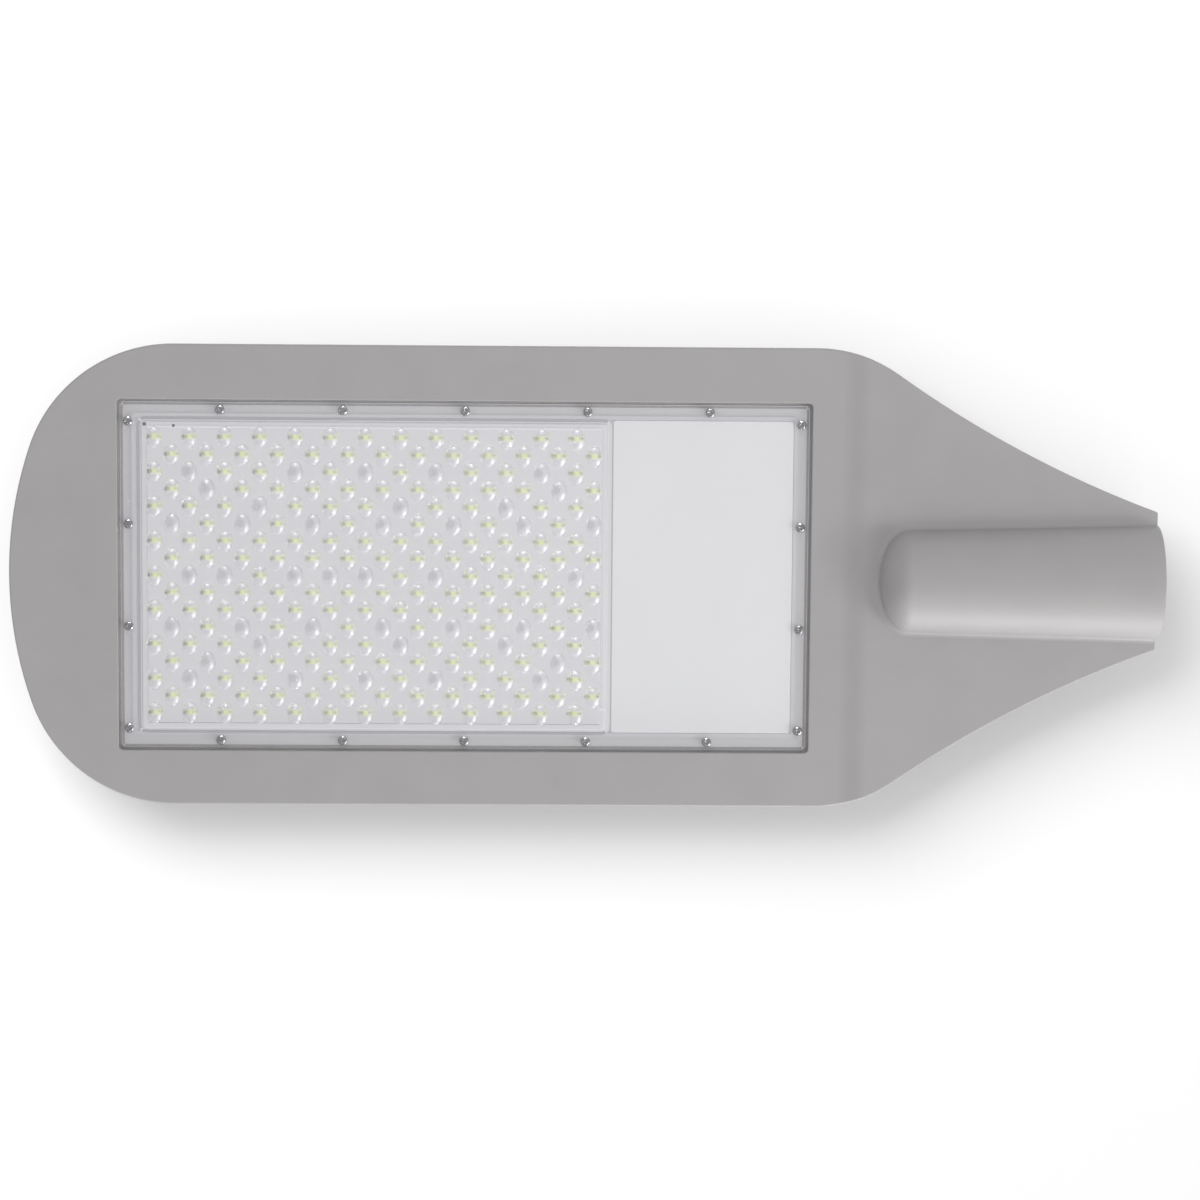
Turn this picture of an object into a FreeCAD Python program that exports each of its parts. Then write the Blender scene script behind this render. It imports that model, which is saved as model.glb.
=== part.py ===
"""LED street light head: die-cast aluminium housing with a pole socket, a clear moulded lens cover
over a staggered array of LEDs, and the driver bay with its gear behind a white plate.

Millimetres. +Z is up, the light shines down. The origin is the centre of the pole socket's mouth,
+X points out of the mouth and the lamp head reaches to -X.
Heights called "h" are measured upwards from the flat underside of the rim.
"""
import FreeCAD
import Part
import math
import os
from FreeCAD import Vector

# Overall outline, seen from below
TOTAL_LENGTH = 720.0
HEAD_WIDTH = 290.0
NOSE_RADIUS = 250.0
CORNER_RADIUS = 95.0
SHOULDER_START = 215.0
SHOULDER_RADIUS = 88.0
SHOULDER_ANGLE = 35.0
MOUTH_WIDTH = 87.0

# Heights of the casting
RIM_ABOVE_SOCKET_AXIS = 4.0
RIM_THICKNESS = 10.0
RIM_TOP_CHAMFER = 4.0
RIM_EDGE_CHAMFER = 1.0
NECK_DROP = 3.0
NECK_STEP_START = 197.0
NECK_STEP_LENGTH = 22.0
PLATEAU_HEIGHT = 14.0
PLATEAU_MARGIN = 7.0
PLATEAU_DRAFT = 3.0
PLATEAU_CORNER = 6.0
CASTING_WALL = 4.0

# Pole socket
SOCKET_BORE_RADIUS = 30.5
SOCKET_DEPTH = 100.0
TUBE_LENGTH = 175.0
TUBE_MOUTH_RADIUS = 35.6
TUBE_INNER_RADIUS = 31.8
TUBE_END_ROUND = 15.0
CABLE_PASSAGE_RADIUS = 9.0
CABLE_PASSAGE_MARGIN = 0.5
SPINE_WALL = 5.0
FAIRING_END = 118.0
FAIRING_END_HEIGHT = 27.0
FAIRING_END_WIDTH = 44.0
FAIRING_SIDE_INSET = 10.0
FAIRING_DROP = 4.0
FAIRING_ROUND = 9.0

# Light opening and lens cover
LIGHT_CENTRE = 435.0
RECESS_LENGTH = 434.0
RECESS_WIDTH = 221.0
RECESS_CORNER = 2.5
RECESS_DEPTH = 7.0
COVER_GAP = 2.5
COVER_CORNER = 4.0
COVER_SINK = 2.0
COVER_THICKNESS = 3.0
PANEL_RISE = 2.5
PANEL_LENGTH = 292.0
PANEL_WIDTH = 195.0
PANEL_MARGIN = 11.8
PANEL_WALL = 3.0

# Lens and LED array
LENS_ROWS = 17
LENS_COLUMNS = 13
LENS_END_MARGIN = 8.5
LENS_PITCH_Y = 10.87
LENS_LENGTH = 14.6
LENS_GAP = 0.4
LENS_HEIGHT = 4.6
LENS_RIDGE = 5.0
LED_SIDE = 3.0
LED_HEIGHT = 0.7
# Row counted from the middle row outwards: the columns that carry a lens but no LED.
EMPTY_COLUMNS = {
    0: (1, 2, 4, 5, 6, 8, 12),
    3: (0, 2, 4, 6, 8, 10, 12),
    4: (3, 7, 10),
    5: (1, 11),
    6: (1, 4, 6, 8, 11),
}

# LED board
BOARD_THICKNESS = 1.6
BOARD_CLEARANCE = 1.0
THERMAL_PAD = 0.5

# White plate over the driver bay
PLATE_WIDTH = 197.6
PLATE_END_MARGIN = 8.8
PLATE_GAP = 3.4

# Gasket
GASKET_WIDTH = 2.5
GASKET_PLATE_GAP = 0.3

# Cover screws, M3
SCREW_EDGE_LONG = 3.9
SCREW_EDGE_SHORT = 4.1
SCREW_PITCH_LONG = 76.5
SCREW_COUNT_LONG = 5
SCREW_PITCH_SHORT = 64.5
SCREW_COUNT_SHORT = 4
SCREW_RADIUS = 1.5
SCREW_HEAD_RADIUS = 2.9
SCREW_HEAD_HEIGHT = 1.8
SCREW_LENGTH = 9.0
SCREW_TIP_ROOM = 0.6
SCREW_SIDES = 4
SCREW_HEAD_SIDES = 6
SMALL_ROUND_SIDES = 6
HOLE_CLEARANCE = 0.3
THREAD_CLEARANCE = 0.05

# Cooling fins
FIN_COUNT = 11
FIN_PITCH = 19.5
FIN_THICKNESS = 3.0
FIN_TOP = 45.0
FIN_SIDE_DROP = 13.0
FIN_RAMP = 95.0
FIN_NOSE_MARGIN = 24.0
FIN_ROOT = 1.0

# Driver bay
BAY_LENGTH = 102.0
BAY_SIDE_GAP = 5.0
BAY_CEILING = 46.0
BAY_LEDGE = 5.2
BAY_CORNER = 5.0
HUMP_MARGIN = 4.0
HUMP_CORNER = 11.0
HUMP_CHAMFER = 9.0

# Driver and the gear beside it
DRIVER_LENGTH = 150.0
DRIVER_WIDTH = 66.0
DRIVER_HEIGHT = 34.0
DRIVER_WALL_GAP = 4.0
DRIVER_CAP = 4.0
DRIVER_CHAMFER = 3.0
EAR_LENGTH = 9.0
EAR_WIDTH = 16.0
EAR_THICKNESS = 3.0
GEAR_GAP = 8.0
GEAR_WIDTH = 20.0
TERMINAL_LENGTH = 42.0
TERMINAL_HEIGHT = 16.0
TERMINAL_STEP = 6.0
SURGE_LENGTH = 45.0
SURGE_HEIGHT = 24.0
GEAR_OFFSET = 26.0
FIXING_RADIUS = 2.0
FIXING_HEAD_RADIUS = 3.8
FIXING_HEAD_HEIGHT = 2.4
FIXING_ENGAGEMENT = 2.6
EARTH_LUG_THICKNESS = 1.0
EARTH_LUG_RADIUS = 4.6

# Cable gland, M12
GLAND_THREAD_RADIUS = 6.0
GLAND_BORE_RADIUS = 4.0
GLAND_FLATS = 15.0
GLAND_FLANGE = 6.0
GLAND_BARREL = 11.0
GLAND_INNER_LENGTH = 10.0
GLAND_NUT_LENGTH = 16.0
GLAND_NUT_GAP = 0.5
GLAND_NUT_FRONT = 3.0
GLAND_SEAL = 1.2
LOCKNUT_FLATS = 16.0
LOCKNUT_THICKNESS = 5.0
GLAND_WALL = 8.0

# Clamp bolts on top of the socket, M8
BOLT_POSITIONS = (28.0, 76.0)
BOLT_RADIUS = 4.0
BOLT_FLATS = 13.0
BOLT_HEAD = 5.5
BOLT_HEAD_GAP = 3.0
BOLT_TIP_GAP = 0.4
PAD_WIDTH = 24.0
PAD_MARGIN = 14.0
PAD_CORNER = 5.0
PAD_RISE = 6.0
BOLT_NUT = 6.5

# Leads inside the housing
LEAD_SIDE = 1.6
CHANNEL_WIDTH = 10.0
CHANNEL_DEPTH = 4.0
LEAD_REACH = 5.0

# Working values
RIM_Z = RIM_ABOVE_SOCKET_AXIS
HALF_WIDTH = HEAD_WIDTH / 2
TOE_X = -TOTAL_LENGTH
CENTRE_X = -LIGHT_CENTRE
FLOOR_H = RECESS_DEPTH
COVER_LENGTH = RECESS_LENGTH - 2 * COVER_GAP
COVER_WIDTH = RECESS_WIDTH - 2 * COVER_GAP
COVER_LEFT = CENTRE_X - COVER_LENGTH / 2
COVER_RIGHT = CENTRE_X + COVER_LENGTH / 2
PANEL_LEFT = COVER_LEFT + PANEL_MARGIN
PANEL_RIGHT = PANEL_LEFT + PANEL_LENGTH
PANEL_H = COVER_SINK - PANEL_RISE
COVER_BACK_H = COVER_SINK + COVER_THICKNESS
PLATE_LEFT = PANEL_RIGHT + PLATE_GAP
PLATE_RIGHT = COVER_RIGHT - PLATE_END_MARGIN
BAY_LEFT = PLATE_LEFT + BAY_LEDGE
BAY_WIDTH = DRIVER_LENGTH + 2 * (DRIVER_CAP + EAR_LENGTH + BAY_SIDE_GAP)
BAY_RIGHT = BAY_LEFT + BAY_LENGTH
HUMP_TOP = BAY_CEILING + CASTING_WALL
PASSAGE_Z = SOCKET_BORE_RADIUS - CABLE_PASSAGE_RADIUS - CABLE_PASSAGE_MARGIN
LENS_PITCH_X = (PANEL_LENGTH - 2 * LENS_END_MARGIN) / (LENS_COLUMNS - 0.5)
LENS_WIDTH = LENS_PITCH_X / 2 - LENS_GAP
BOARD_LEFT = PANEL_LEFT + PANEL_WALL + BOARD_CLEARANCE
BOARD_RIGHT = PANEL_RIGHT - PANEL_WALL - BOARD_CLEARANCE
BOARD_WIDTH = PANEL_WIDTH - 2 * (PANEL_WALL + BOARD_CLEARANCE)
BOARD_H = FLOOR_H - THERMAL_PAD - BOARD_THICKNESS
LED_H = BOARD_H - LED_HEIGHT
DRIVER_LEFT = BAY_LEFT + DRIVER_WALL_GAP
DRIVER_RIGHT = DRIVER_LEFT + DRIVER_WIDTH
GEAR_LEFT = DRIVER_RIGHT + GEAR_GAP
OUT = "parts"
OVERSHOOT = 1.0


def z_of(height):
    """Height above the rim's underside, as a Z coordinate."""
    return RIM_Z + height


def box(x0, x1, y0, y1, h0, h1):
    return Part.makeBox(x1 - x0, y1 - y0, h1 - h0, Vector(x0, y0, z_of(h0)))


def rod(radius, start, end):
    """Round bar between two points."""
    along = end.sub(start)
    return Part.makeCylinder(radius, along.Length, start, along)


def polygon_bar(sides, radius, start, end):
    """Prism with a regular polygon section, between two points."""
    along = end.sub(start)
    turn = FreeCAD.Rotation(Vector(0, 0, 1), along)
    ring = []
    for k in range(sides + 1):
        angle = 2 * math.pi * k / sides
        corner = Vector(radius * math.cos(angle), radius * math.sin(angle), 0)
        ring.append(start.add(turn.multVec(corner)))
    return Part.Face(Part.makePolygon(ring)).extrude(along)


def small_rod(radius, start, end):
    """Slim bar or hole, drawn as a prism with few sides."""
    return polygon_bar(SMALL_ROUND_SIDES, radius, start, end)


def hexagon_bar(flats, start, end):
    return polygon_bar(6, flats / math.sqrt(3), start, end)


def rounded_rectangle(x0, x1, y0, y1, radius, z):
    """Closed wire of a rectangle with round corners, flat at Z."""
    edges = []
    corners = ((x1 - radius, y1 - radius, 0), (x0 + radius, y1 - radius, 90),
               (x0 + radius, y0 + radius, 180), (x1 - radius, y0 + radius, 270))
    last = None
    first = None
    for cx, cy, start in corners:
        points = []
        for turn in (start, start + 45, start + 90):
            angle = math.radians(turn)
            points.append(Vector(cx + radius * math.cos(angle), cy + radius * math.sin(angle), z))
        if last is not None:
            edges.append(Part.makeLine(last, points[0]))
        else:
            first = points[0]
        edges.append(Part.Arc(*points).toShape())
        last = points[2]
    edges.append(Part.makeLine(last, first))
    return Part.Wire(edges)


def rounded_block(x0, x1, y0, y1, radius, h0, h1):
    wire = rounded_rectangle(x0, x1, y0, y1, radius, z_of(h0))
    return Part.Face(wire).extrude(Vector(0, 0, h1 - h0))


def cut_corner_block(x0, x1, y0, y1, cut, h0, h1):
    """Block whose upright corners are cut off at 45 degrees."""
    ring = []
    for x, y in ((x0 + cut, y0), (x1 - cut, y0), (x1, y0 + cut), (x1, y1 - cut),
                 (x1 - cut, y1), (x0 + cut, y1), (x0, y1 - cut), (x0, y0 + cut)):
        ring.append(Vector(x, y, z_of(h0)))
    return Part.Face(Part.makePolygon(ring + ring[:1])).extrude(Vector(0, 0, h1 - h0))


def tapered_block(x0, x1, y0, y1, h0, h1, draft, corner):
    """Block whose four sides lean in by draft from h0 to h1, with its upright corners cut off."""
    def trapezium(low, high, place):
        ring = [place(low, h0), place(high, h0), place(high - draft, h1), place(low + draft, h1)]
        return Part.Face(Part.makePolygon(ring + ring[:1]))
    along = trapezium(x0, x1, lambda x, h: Vector(x, y0, z_of(h))).extrude(Vector(0, y1 - y0, 0))
    across = trapezium(y0, y1, lambda y, h: Vector(x0, y, z_of(h))).extrude(Vector(x1 - x0, 0, 0))
    block = along.common(across)
    upright = [edge for edge in block.Edges if edge.BoundBox.ZLength > (h1 - h0) / 2]
    return block.makeChamfer(corner, upright)


def arc_through(start, middle, end):
    return Part.Arc(start, middle, end).toShape()


def outline_points():
    """Tangent points and arc middles of one half of the plan outline, from the nose to the mouth."""
    nose_x = TOE_X + NOSE_RADIUS
    reach = NOSE_RADIUS - CORNER_RADIUS
    rise = HALF_WIDTH - CORNER_RADIUS
    corner_x = nose_x - math.sqrt(reach ** 2 - rise ** 2)
    nose_end = Vector(nose_x + (corner_x - nose_x) * NOSE_RADIUS / reach, rise * NOSE_RADIUS / reach, 0)
    turn = (math.atan2(rise, corner_x - nose_x) + math.pi / 2) / 2
    corner_mid = Vector(corner_x + CORNER_RADIUS * math.cos(turn), rise + CORNER_RADIUS * math.sin(turn), 0)
    corner_end = Vector(corner_x, HALF_WIDTH, 0)
    shoulder = Vector(-SHOULDER_START, HALF_WIDTH, 0)
    lean = math.radians(SHOULDER_ANGLE)
    shoulder_y = HALF_WIDTH - SHOULDER_RADIUS
    shoulder_mid = Vector(-SHOULDER_START + SHOULDER_RADIUS * math.sin(lean / 2),
                          shoulder_y + SHOULDER_RADIUS * math.cos(lean / 2), 0)
    shoulder_end = Vector(-SHOULDER_START + SHOULDER_RADIUS * math.sin(lean),
                          shoulder_y + SHOULDER_RADIUS * math.cos(lean), 0)
    mouth = Vector(0, MOUTH_WIDTH / 2, 0)
    normal = Vector(math.sin(lean), math.cos(lean), 0)
    chord = mouth.sub(shoulder_end)
    neck_radius = chord.Length ** 2 / (2 * chord.dot(normal))
    neck_centre = shoulder_end.add(Vector(normal).multiply(neck_radius))
    half_way = shoulder_end.add(mouth).multiply(0.5).sub(neck_centre)
    neck_mid = neck_centre.add(half_way.normalize().multiply(abs(neck_radius)))
    return nose_end, corner_mid, corner_end, shoulder, shoulder_mid, shoulder_end, neck_mid, mouth


def mirrored(point):
    return Vector(point.x, -point.y, point.z)


def outline_face(z):
    """Plan outline of the housing as a face at Z."""
    nose_end, corner_mid, corner_end, shoulder, shoulder_mid, shoulder_end, neck_mid, mouth = outline_points()
    toe = Vector(TOE_X, 0, 0)
    half = [
        arc_through(nose_end, corner_mid, corner_end),
        Part.makeLine(corner_end, shoulder),
        arc_through(shoulder, shoulder_mid, shoulder_end),
        arc_through(shoulder_end, neck_mid, mouth),
    ]
    plane = FreeCAD.Vector(0, 1, 0)
    edges = [arc_through(mirrored(nose_end), toe, nose_end)] + half
    edges.append(Part.makeLine(mouth, mirrored(mouth)))
    edges += [edge.mirror(Vector(0, 0, 0), plane) for edge in reversed(half)]
    face = Part.Face(Part.Wire(Part.__sortEdges__(edges)))
    face.translate(Vector(0, 0, z))
    return face


def nose_x_at(y):
    """X of the outline's rounded toe at a distance y from the middle."""
    nose_end, _, corner_end = outline_points()[:3]
    if abs(y) <= nose_end.y:
        return TOE_X + NOSE_RADIUS - math.sqrt(NOSE_RADIUS ** 2 - y ** 2)
    rise = HALF_WIDTH - CORNER_RADIUS
    return corner_end.x - math.sqrt(CORNER_RADIUS ** 2 - (abs(y) - rise) ** 2)


def rim_plate():
    """The flat rim and neck plate, with the soft step where the neck hangs a little lower than the rim."""
    low, high = z_of(-NECK_DROP), z_of(RIM_THICKNESS)
    slab = outline_face(low).extrude(Vector(0, 0, high - low))
    x0, x1 = -NECK_STEP_START, -NECK_STEP_START + NECK_STEP_LENGTH
    radius = (NECK_STEP_LENGTH ** 2 + NECK_DROP ** 2) / (4 * NECK_DROP)
    lean = math.asin(NECK_STEP_LENGTH / 2 / radius) / 2
    side = HALF_WIDTH + OVERSHOOT
    back = TOE_X - OVERSHOOT

    def at(x, z):
        return Vector(x, -side, z)
    bend_in = at(x0 + radius * math.sin(lean), RIM_Z - radius * (1 - math.cos(lean)))
    middle = at((x0 + x1) / 2, RIM_Z - NECK_DROP / 2)
    bend_out = at(x1 - radius * math.sin(lean), low + radius * (1 - math.cos(lean)))
    top = high + OVERSHOOT
    profile = [
        Part.makeLine(at(back, RIM_Z), at(x0, RIM_Z)),
        arc_through(at(x0, RIM_Z), bend_in, middle),
        arc_through(middle, bend_out, at(x1, low)),
        Part.makeLine(at(x1, low), at(OVERSHOOT, low)),
        Part.makeLine(at(OVERSHOOT, low), at(OVERSHOOT, top)),
        Part.makeLine(at(OVERSHOOT, top), at(back, top)),
        Part.makeLine(at(back, top), at(back, RIM_Z)),
    ]
    envelope = Part.Face(Part.Wire(profile)).extrude(Vector(0, 2 * side, 0))
    plate = slab.common(envelope)
    plate = plate.makeChamfer(RIM_TOP_CHAMFER, rim_edges(plate, high))
    return plate.makeChamfer(RIM_EDGE_CHAMFER, under_edges(plate))


def off_mouth(edge):
    return edge.BoundBox.XMin < -OVERSHOOT


def rim_edges(plate, z):
    """Edges of the outline at the top of the plate, apart from the mouth."""
    return [edge for edge in plate.Edges
            if abs(edge.BoundBox.ZMin - z) < 1e-6 and abs(edge.BoundBox.ZMax - z) < 1e-6 and off_mouth(edge)]


def under_edges(plate):
    """Edges of the outline round the underside, apart from the mouth and the lines across the neck step."""
    found = []
    for edge in plate.Edges:
        bounds = edge.BoundBox
        across = bounds.YMin < -OVERSHOOT and bounds.YMax > OVERSHOOT and bounds.XLength < OVERSHOOT
        if bounds.ZMax < RIM_Z + 1e-6 and off_mouth(edge) and not across:
            found.append(edge)
    return found


def plateau():
    """Raised back of the light opening, which carries the fins."""
    length, width = RECESS_LENGTH / 2 + PLATEAU_MARGIN, RECESS_WIDTH / 2 + PLATEAU_MARGIN
    return tapered_block(CENTRE_X - length, CENTRE_X + length, -width, width, RIM_THICKNESS - OVERSHOOT,
                         PLATEAU_HEIGHT, PLATEAU_DRAFT, PLATEAU_CORNER)


def hump():
    """Raised cover of the driver bay."""
    wall = CASTING_WALL + HUMP_MARGIN
    block = cut_corner_block(BAY_LEFT - wall, BAY_RIGHT + GLAND_WALL + HUMP_MARGIN, -BAY_WIDTH / 2 - wall,
                             BAY_WIDTH / 2 + wall, HUMP_CORNER, RIM_THICKNESS - OVERSHOOT, HUMP_TOP)
    top = [edge for edge in block.Edges if edge.BoundBox.ZMin > z_of(HUMP_TOP) - 1e-6]
    return block.makeChamfer(HUMP_CHAMFER, top)


def fairing():
    """Sloping shoulder from the driver hump down to the pole socket."""
    low = z_of(RIM_THICKNESS - OVERSHOOT)
    x0, x1 = BAY_RIGHT + OVERSHOOT, -FAIRING_END
    y0, y1 = BAY_WIDTH / 2 - FAIRING_SIDE_INSET, FAIRING_END_WIDTH / 2
    plan = [Vector(x0, -y0, low), Vector(x1, -y1, low), Vector(x1, y1, low), Vector(x0, y0, low)]
    side = [Vector(x0, -y0, low), Vector(x1, -y0, low), Vector(x1, -y0, z_of(FAIRING_END_HEIGHT)),
            Vector(x0, -y0, z_of(HUMP_TOP - FAIRING_DROP))]
    wedge = Part.Face(Part.makePolygon(side + side[:1])).extrude(Vector(0, 2 * y0, 0))
    prism = Part.Face(Part.makePolygon(plan + plan[:1])).extrude(Vector(0, 0, z_of(HUMP_TOP) - low))
    block = prism.common(wedge)
    ridges = [edge for edge in block.Edges
              if edge.BoundBox.XLength > OVERSHOOT and edge.BoundBox.ZMin > z_of(RIM_THICKNESS)]
    return block.makeFillet(FAIRING_ROUND, ridges)


def socket_tube():
    """Tapered outside of the pole socket with its rounded inner end, the cable spine and the bolt pad."""
    bevel = TUBE_END_ROUND * (1 - math.sqrt(0.5))
    profile = [(-TUBE_LENGTH, 0), (-TUBE_LENGTH, TUBE_INNER_RADIUS - TUBE_END_ROUND),
               (-TUBE_LENGTH + bevel, TUBE_INNER_RADIUS - bevel),
               (-TUBE_LENGTH + TUBE_END_ROUND, TUBE_INNER_RADIUS), (0, TUBE_MOUTH_RADIUS), (0, 0)]
    ring = [Vector(x, 0, -radius) for x, radius in profile]
    tube = Part.Face(Part.makePolygon(ring + ring[:1])).revolve(Vector(0, 0, 0), Vector(1, 0, 0), 360)
    spine = rod(CABLE_PASSAGE_RADIUS + SPINE_WALL, on_gland_axis(BAY_RIGHT + OVERSHOOT),
                on_gland_axis(-max(BOLT_POSITIONS)))
    spine = spine.cut(box(BAY_RIGHT, 0, -HALF_WIDTH, HALF_WIDTH, -HALF_WIDTH, 0))
    x0, x1 = -max(BOLT_POSITIONS) - PAD_MARGIN, -min(BOLT_POSITIONS) + PAD_MARGIN
    pad = cut_corner_block(x0, x1, -PAD_WIDTH / 2, PAD_WIDTH / 2, PAD_CORNER, RIM_THICKNESS,
                           pad_top() - RIM_Z)
    return tube.multiFuse([spine, pad])


def pad_top():
    """Z of the pad that the clamp bolts pass through."""
    return TUBE_MOUTH_RADIUS + PAD_RISE


def fin(y):
    """One cooling fin: it ramps up from the toe in an arc and runs back into the driver hump."""
    share = y / (FIN_PITCH * (FIN_COUNT - 1) / 2)
    top = FIN_TOP - FIN_SIDE_DROP * share ** 2
    start = nose_x_at(abs(y) + FIN_THICKNESS) + FIN_NOSE_MARGIN
    end = BAY_LEFT - CASTING_WALL + OVERSHOOT
    base = PLATEAU_HEIGHT - FIN_ROOT
    if start < CENTRE_X - RECESS_LENGTH / 2 - PLATEAU_MARGIN:
        base = RIM_THICKNESS - FIN_ROOT
    rise = top - base
    radius = (FIN_RAMP ** 2 + rise ** 2) / (2 * rise)
    lean = math.asin(FIN_RAMP / radius) / 2

    def at(x, h):
        return Vector(x, y - FIN_THICKNESS / 2, z_of(h))
    crest = at(start + FIN_RAMP, top)
    middle = at(start + FIN_RAMP - radius * math.sin(lean), top - radius * (1 - math.cos(lean)))
    edges = [
        arc_through(at(start, base), middle, crest),
        Part.makeLine(crest, at(end, top)),
        Part.makeLine(at(end, top), at(end, base)),
        Part.makeLine(at(end, base), at(start, base)),
    ]
    return Part.Face(Part.Wire(edges)).extrude(Vector(0, FIN_THICKNESS, 0))


def fin_positions():
    return [(k - (FIN_COUNT - 1) / 2) * FIN_PITCH for k in range(FIN_COUNT)]


def screw_places():
    """Plan positions of the cover screws round the border."""
    places = []
    y = COVER_WIDTH / 2 - SCREW_EDGE_LONG
    for k in range(SCREW_COUNT_LONG):
        x = CENTRE_X + (k - (SCREW_COUNT_LONG - 1) / 2) * SCREW_PITCH_LONG
        places += [(x, y), (x, -y)]
    x = COVER_LENGTH / 2 - SCREW_EDGE_SHORT
    for k in range(SCREW_COUNT_SHORT):
        y = (k - (SCREW_COUNT_SHORT - 1) / 2) * SCREW_PITCH_SHORT
        places += [(CENTRE_X - x, y), (CENTRE_X + x, y)]
    return places


def screw_bars(radius, h0, h1):
    """One polygonal bar at each cover screw."""
    return [polygon_bar(SCREW_SIDES, radius, Vector(x, y, z_of(h0)), Vector(x, y, z_of(h1)))
            for x, y in screw_places()]


def channel_bounds():
    """Plan bounds of the notch that takes the lead from the driver bay to the LED board."""
    return BOARD_RIGHT, BAY_LEFT + OVERSHOOT, lead_y() - CHANNEL_WIDTH / 2, lead_y() + CHANNEL_WIDTH / 2


def housing():
    """Die-cast housing: one casting from the toe to the pole socket."""
    fins = [fin(y) for y in fin_positions()]
    body = rim_plate().multiFuse([plateau(), hump(), fairing(), socket_tube()] + fins)
    length, width = RECESS_LENGTH / 2, RECESS_WIDTH / 2
    recess = rounded_block(CENTRE_X - length, CENTRE_X + length, -width, width, RECESS_CORNER,
                           -NECK_DROP - OVERSHOOT, FLOOR_H)
    bay = cut_corner_block(BAY_LEFT, BAY_RIGHT, -BAY_WIDTH / 2, BAY_WIDTH / 2, BAY_CORNER,
                           FLOOR_H - OVERSHOOT, BAY_CEILING)
    x0, x1, y0, y1 = channel_bounds()
    channel = box(x0, x1, y0, y1, FLOOR_H - OVERSHOOT, FLOOR_H + CHANNEL_DEPTH)
    bore = rod(SOCKET_BORE_RADIUS, Vector(-SOCKET_DEPTH, 0, 0), Vector(OVERSHOOT, 0, 0))
    passage = rod(CABLE_PASSAGE_RADIUS, on_gland_axis(BAY_RIGHT + GLAND_WALL),
                  on_gland_axis(-SOCKET_DEPTH + OVERSHOOT))
    gland_hole = small_rod(GLAND_THREAD_RADIUS + THREAD_CLEARANCE, on_gland_axis(BAY_RIGHT - OVERSHOOT),
                           on_gland_axis(BAY_RIGHT + GLAND_WALL + OVERSHOOT))
    cuts = [recess, bay, channel, bore, passage, gland_hole]
    for x in BOLT_POSITIONS:
        above = Vector(-x, 0, pad_top() + OVERSHOOT)
        cuts.append(small_rod(BOLT_RADIUS + THREAD_CLEARANCE, Vector(-x, 0, 0), above))
    tip = COVER_SINK + SCREW_LENGTH + SCREW_TIP_ROOM
    cuts += screw_bars(SCREW_RADIUS + THREAD_CLEARANCE, FLOOR_H - OVERSHOOT, tip)
    for x, y in fixing_places():
        cuts.append(small_rod(FIXING_RADIUS + THREAD_CLEARANCE, Vector(x, y, z_of(BAY_CEILING - OVERSHOOT)),
                              Vector(x, y, z_of(BAY_CEILING + FIXING_ENGAGEMENT + THREAD_CLEARANCE))))
    for tool in cuts:
        body = body.cut(tool)
    return body.removeSplitter()


def lens_places():
    """Row counted from the middle, column, and plan position of every lens in the staggered array."""
    places = []
    middle = (LENS_ROWS - 1) // 2
    first = (PANEL_LEFT + PANEL_RIGHT) / 2 - (LENS_COLUMNS - 0.5) * LENS_PITCH_X / 2
    for row in range(LENS_ROWS):
        stagger = 0.5 if row % 2 else 0.0
        for column in range(LENS_COLUMNS):
            places.append((abs(row - middle), column, first + (column + stagger) * LENS_PITCH_X,
                           (row - middle) * LENS_PITCH_Y))
    return places


def lens_dome(x, y):
    """One oval lens as a faceted dome, long across the lamp, standing on the raised panel."""
    def rim(angle):
        turn = math.radians(angle)
        return Vector(x + LENS_WIDTH / math.sqrt(3) * math.cos(turn), y + LENS_LENGTH / 2 * math.sin(turn),
                      z_of(PANEL_H))
    base = [rim(60 * k + 30) for k in range(6)]
    near, far = [Vector(x, y + side * LENS_RIDGE / 2, z_of(PANEL_H - LENS_HEIGHT)) for side in (1, -1)]
    rings = [base, [base[0], base[1], near], [base[1], base[2], near], [base[2], base[3], far, near],
             [base[3], base[4], far], [base[4], base[5], far], [base[5], base[0], near, far]]
    return Part.Solid(Part.Shell([Part.Face(Part.makePolygon(ring + ring[:1])) for ring in rings]))


def lens_cover():
    """Clear moulded cover: flat border, raised panel that is hollow behind, and the lens domes."""
    border = rounded_block(COVER_LEFT, COVER_RIGHT, -COVER_WIDTH / 2, COVER_WIDTH / 2, COVER_CORNER,
                           COVER_SINK, COVER_BACK_H)
    panel = box(PANEL_LEFT, PANEL_RIGHT, -PANEL_WIDTH / 2, PANEL_WIDTH / 2, PANEL_H, COVER_BACK_H)
    hollow = box(PANEL_LEFT + PANEL_WALL, PANEL_RIGHT - PANEL_WALL, -PANEL_WIDTH / 2 + PANEL_WALL,
                 PANEL_WIDTH / 2 - PANEL_WALL, PANEL_H + PANEL_WALL, COVER_BACK_H + OVERSHOOT)
    holes = screw_bars(SCREW_RADIUS + HOLE_CLEARANCE, COVER_SINK - OVERSHOOT, COVER_BACK_H + OVERSHOOT)
    plate = border.fuse(panel).cut(Part.makeCompound([hollow] + holes))
    return plate.multiFuse([lens_dome(x, y) for _, _, x, y in lens_places()]).removeSplitter()


def led_packages():
    """The LED packages, one under every lens that has one."""
    chips = []
    for row, column, x, y in lens_places():
        if column not in EMPTY_COLUMNS.get(row, ()):
            half = LED_SIDE / 2
            chips.append(box(x - half, x + half, y - half, y + half, LED_H, BOARD_H))
    return Part.makeCompound(chips)


def board_sheet(h0, h1):
    return box(BOARD_LEFT, BOARD_RIGHT, -BOARD_WIDTH / 2, BOARD_WIDTH / 2, h0, h1)


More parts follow.
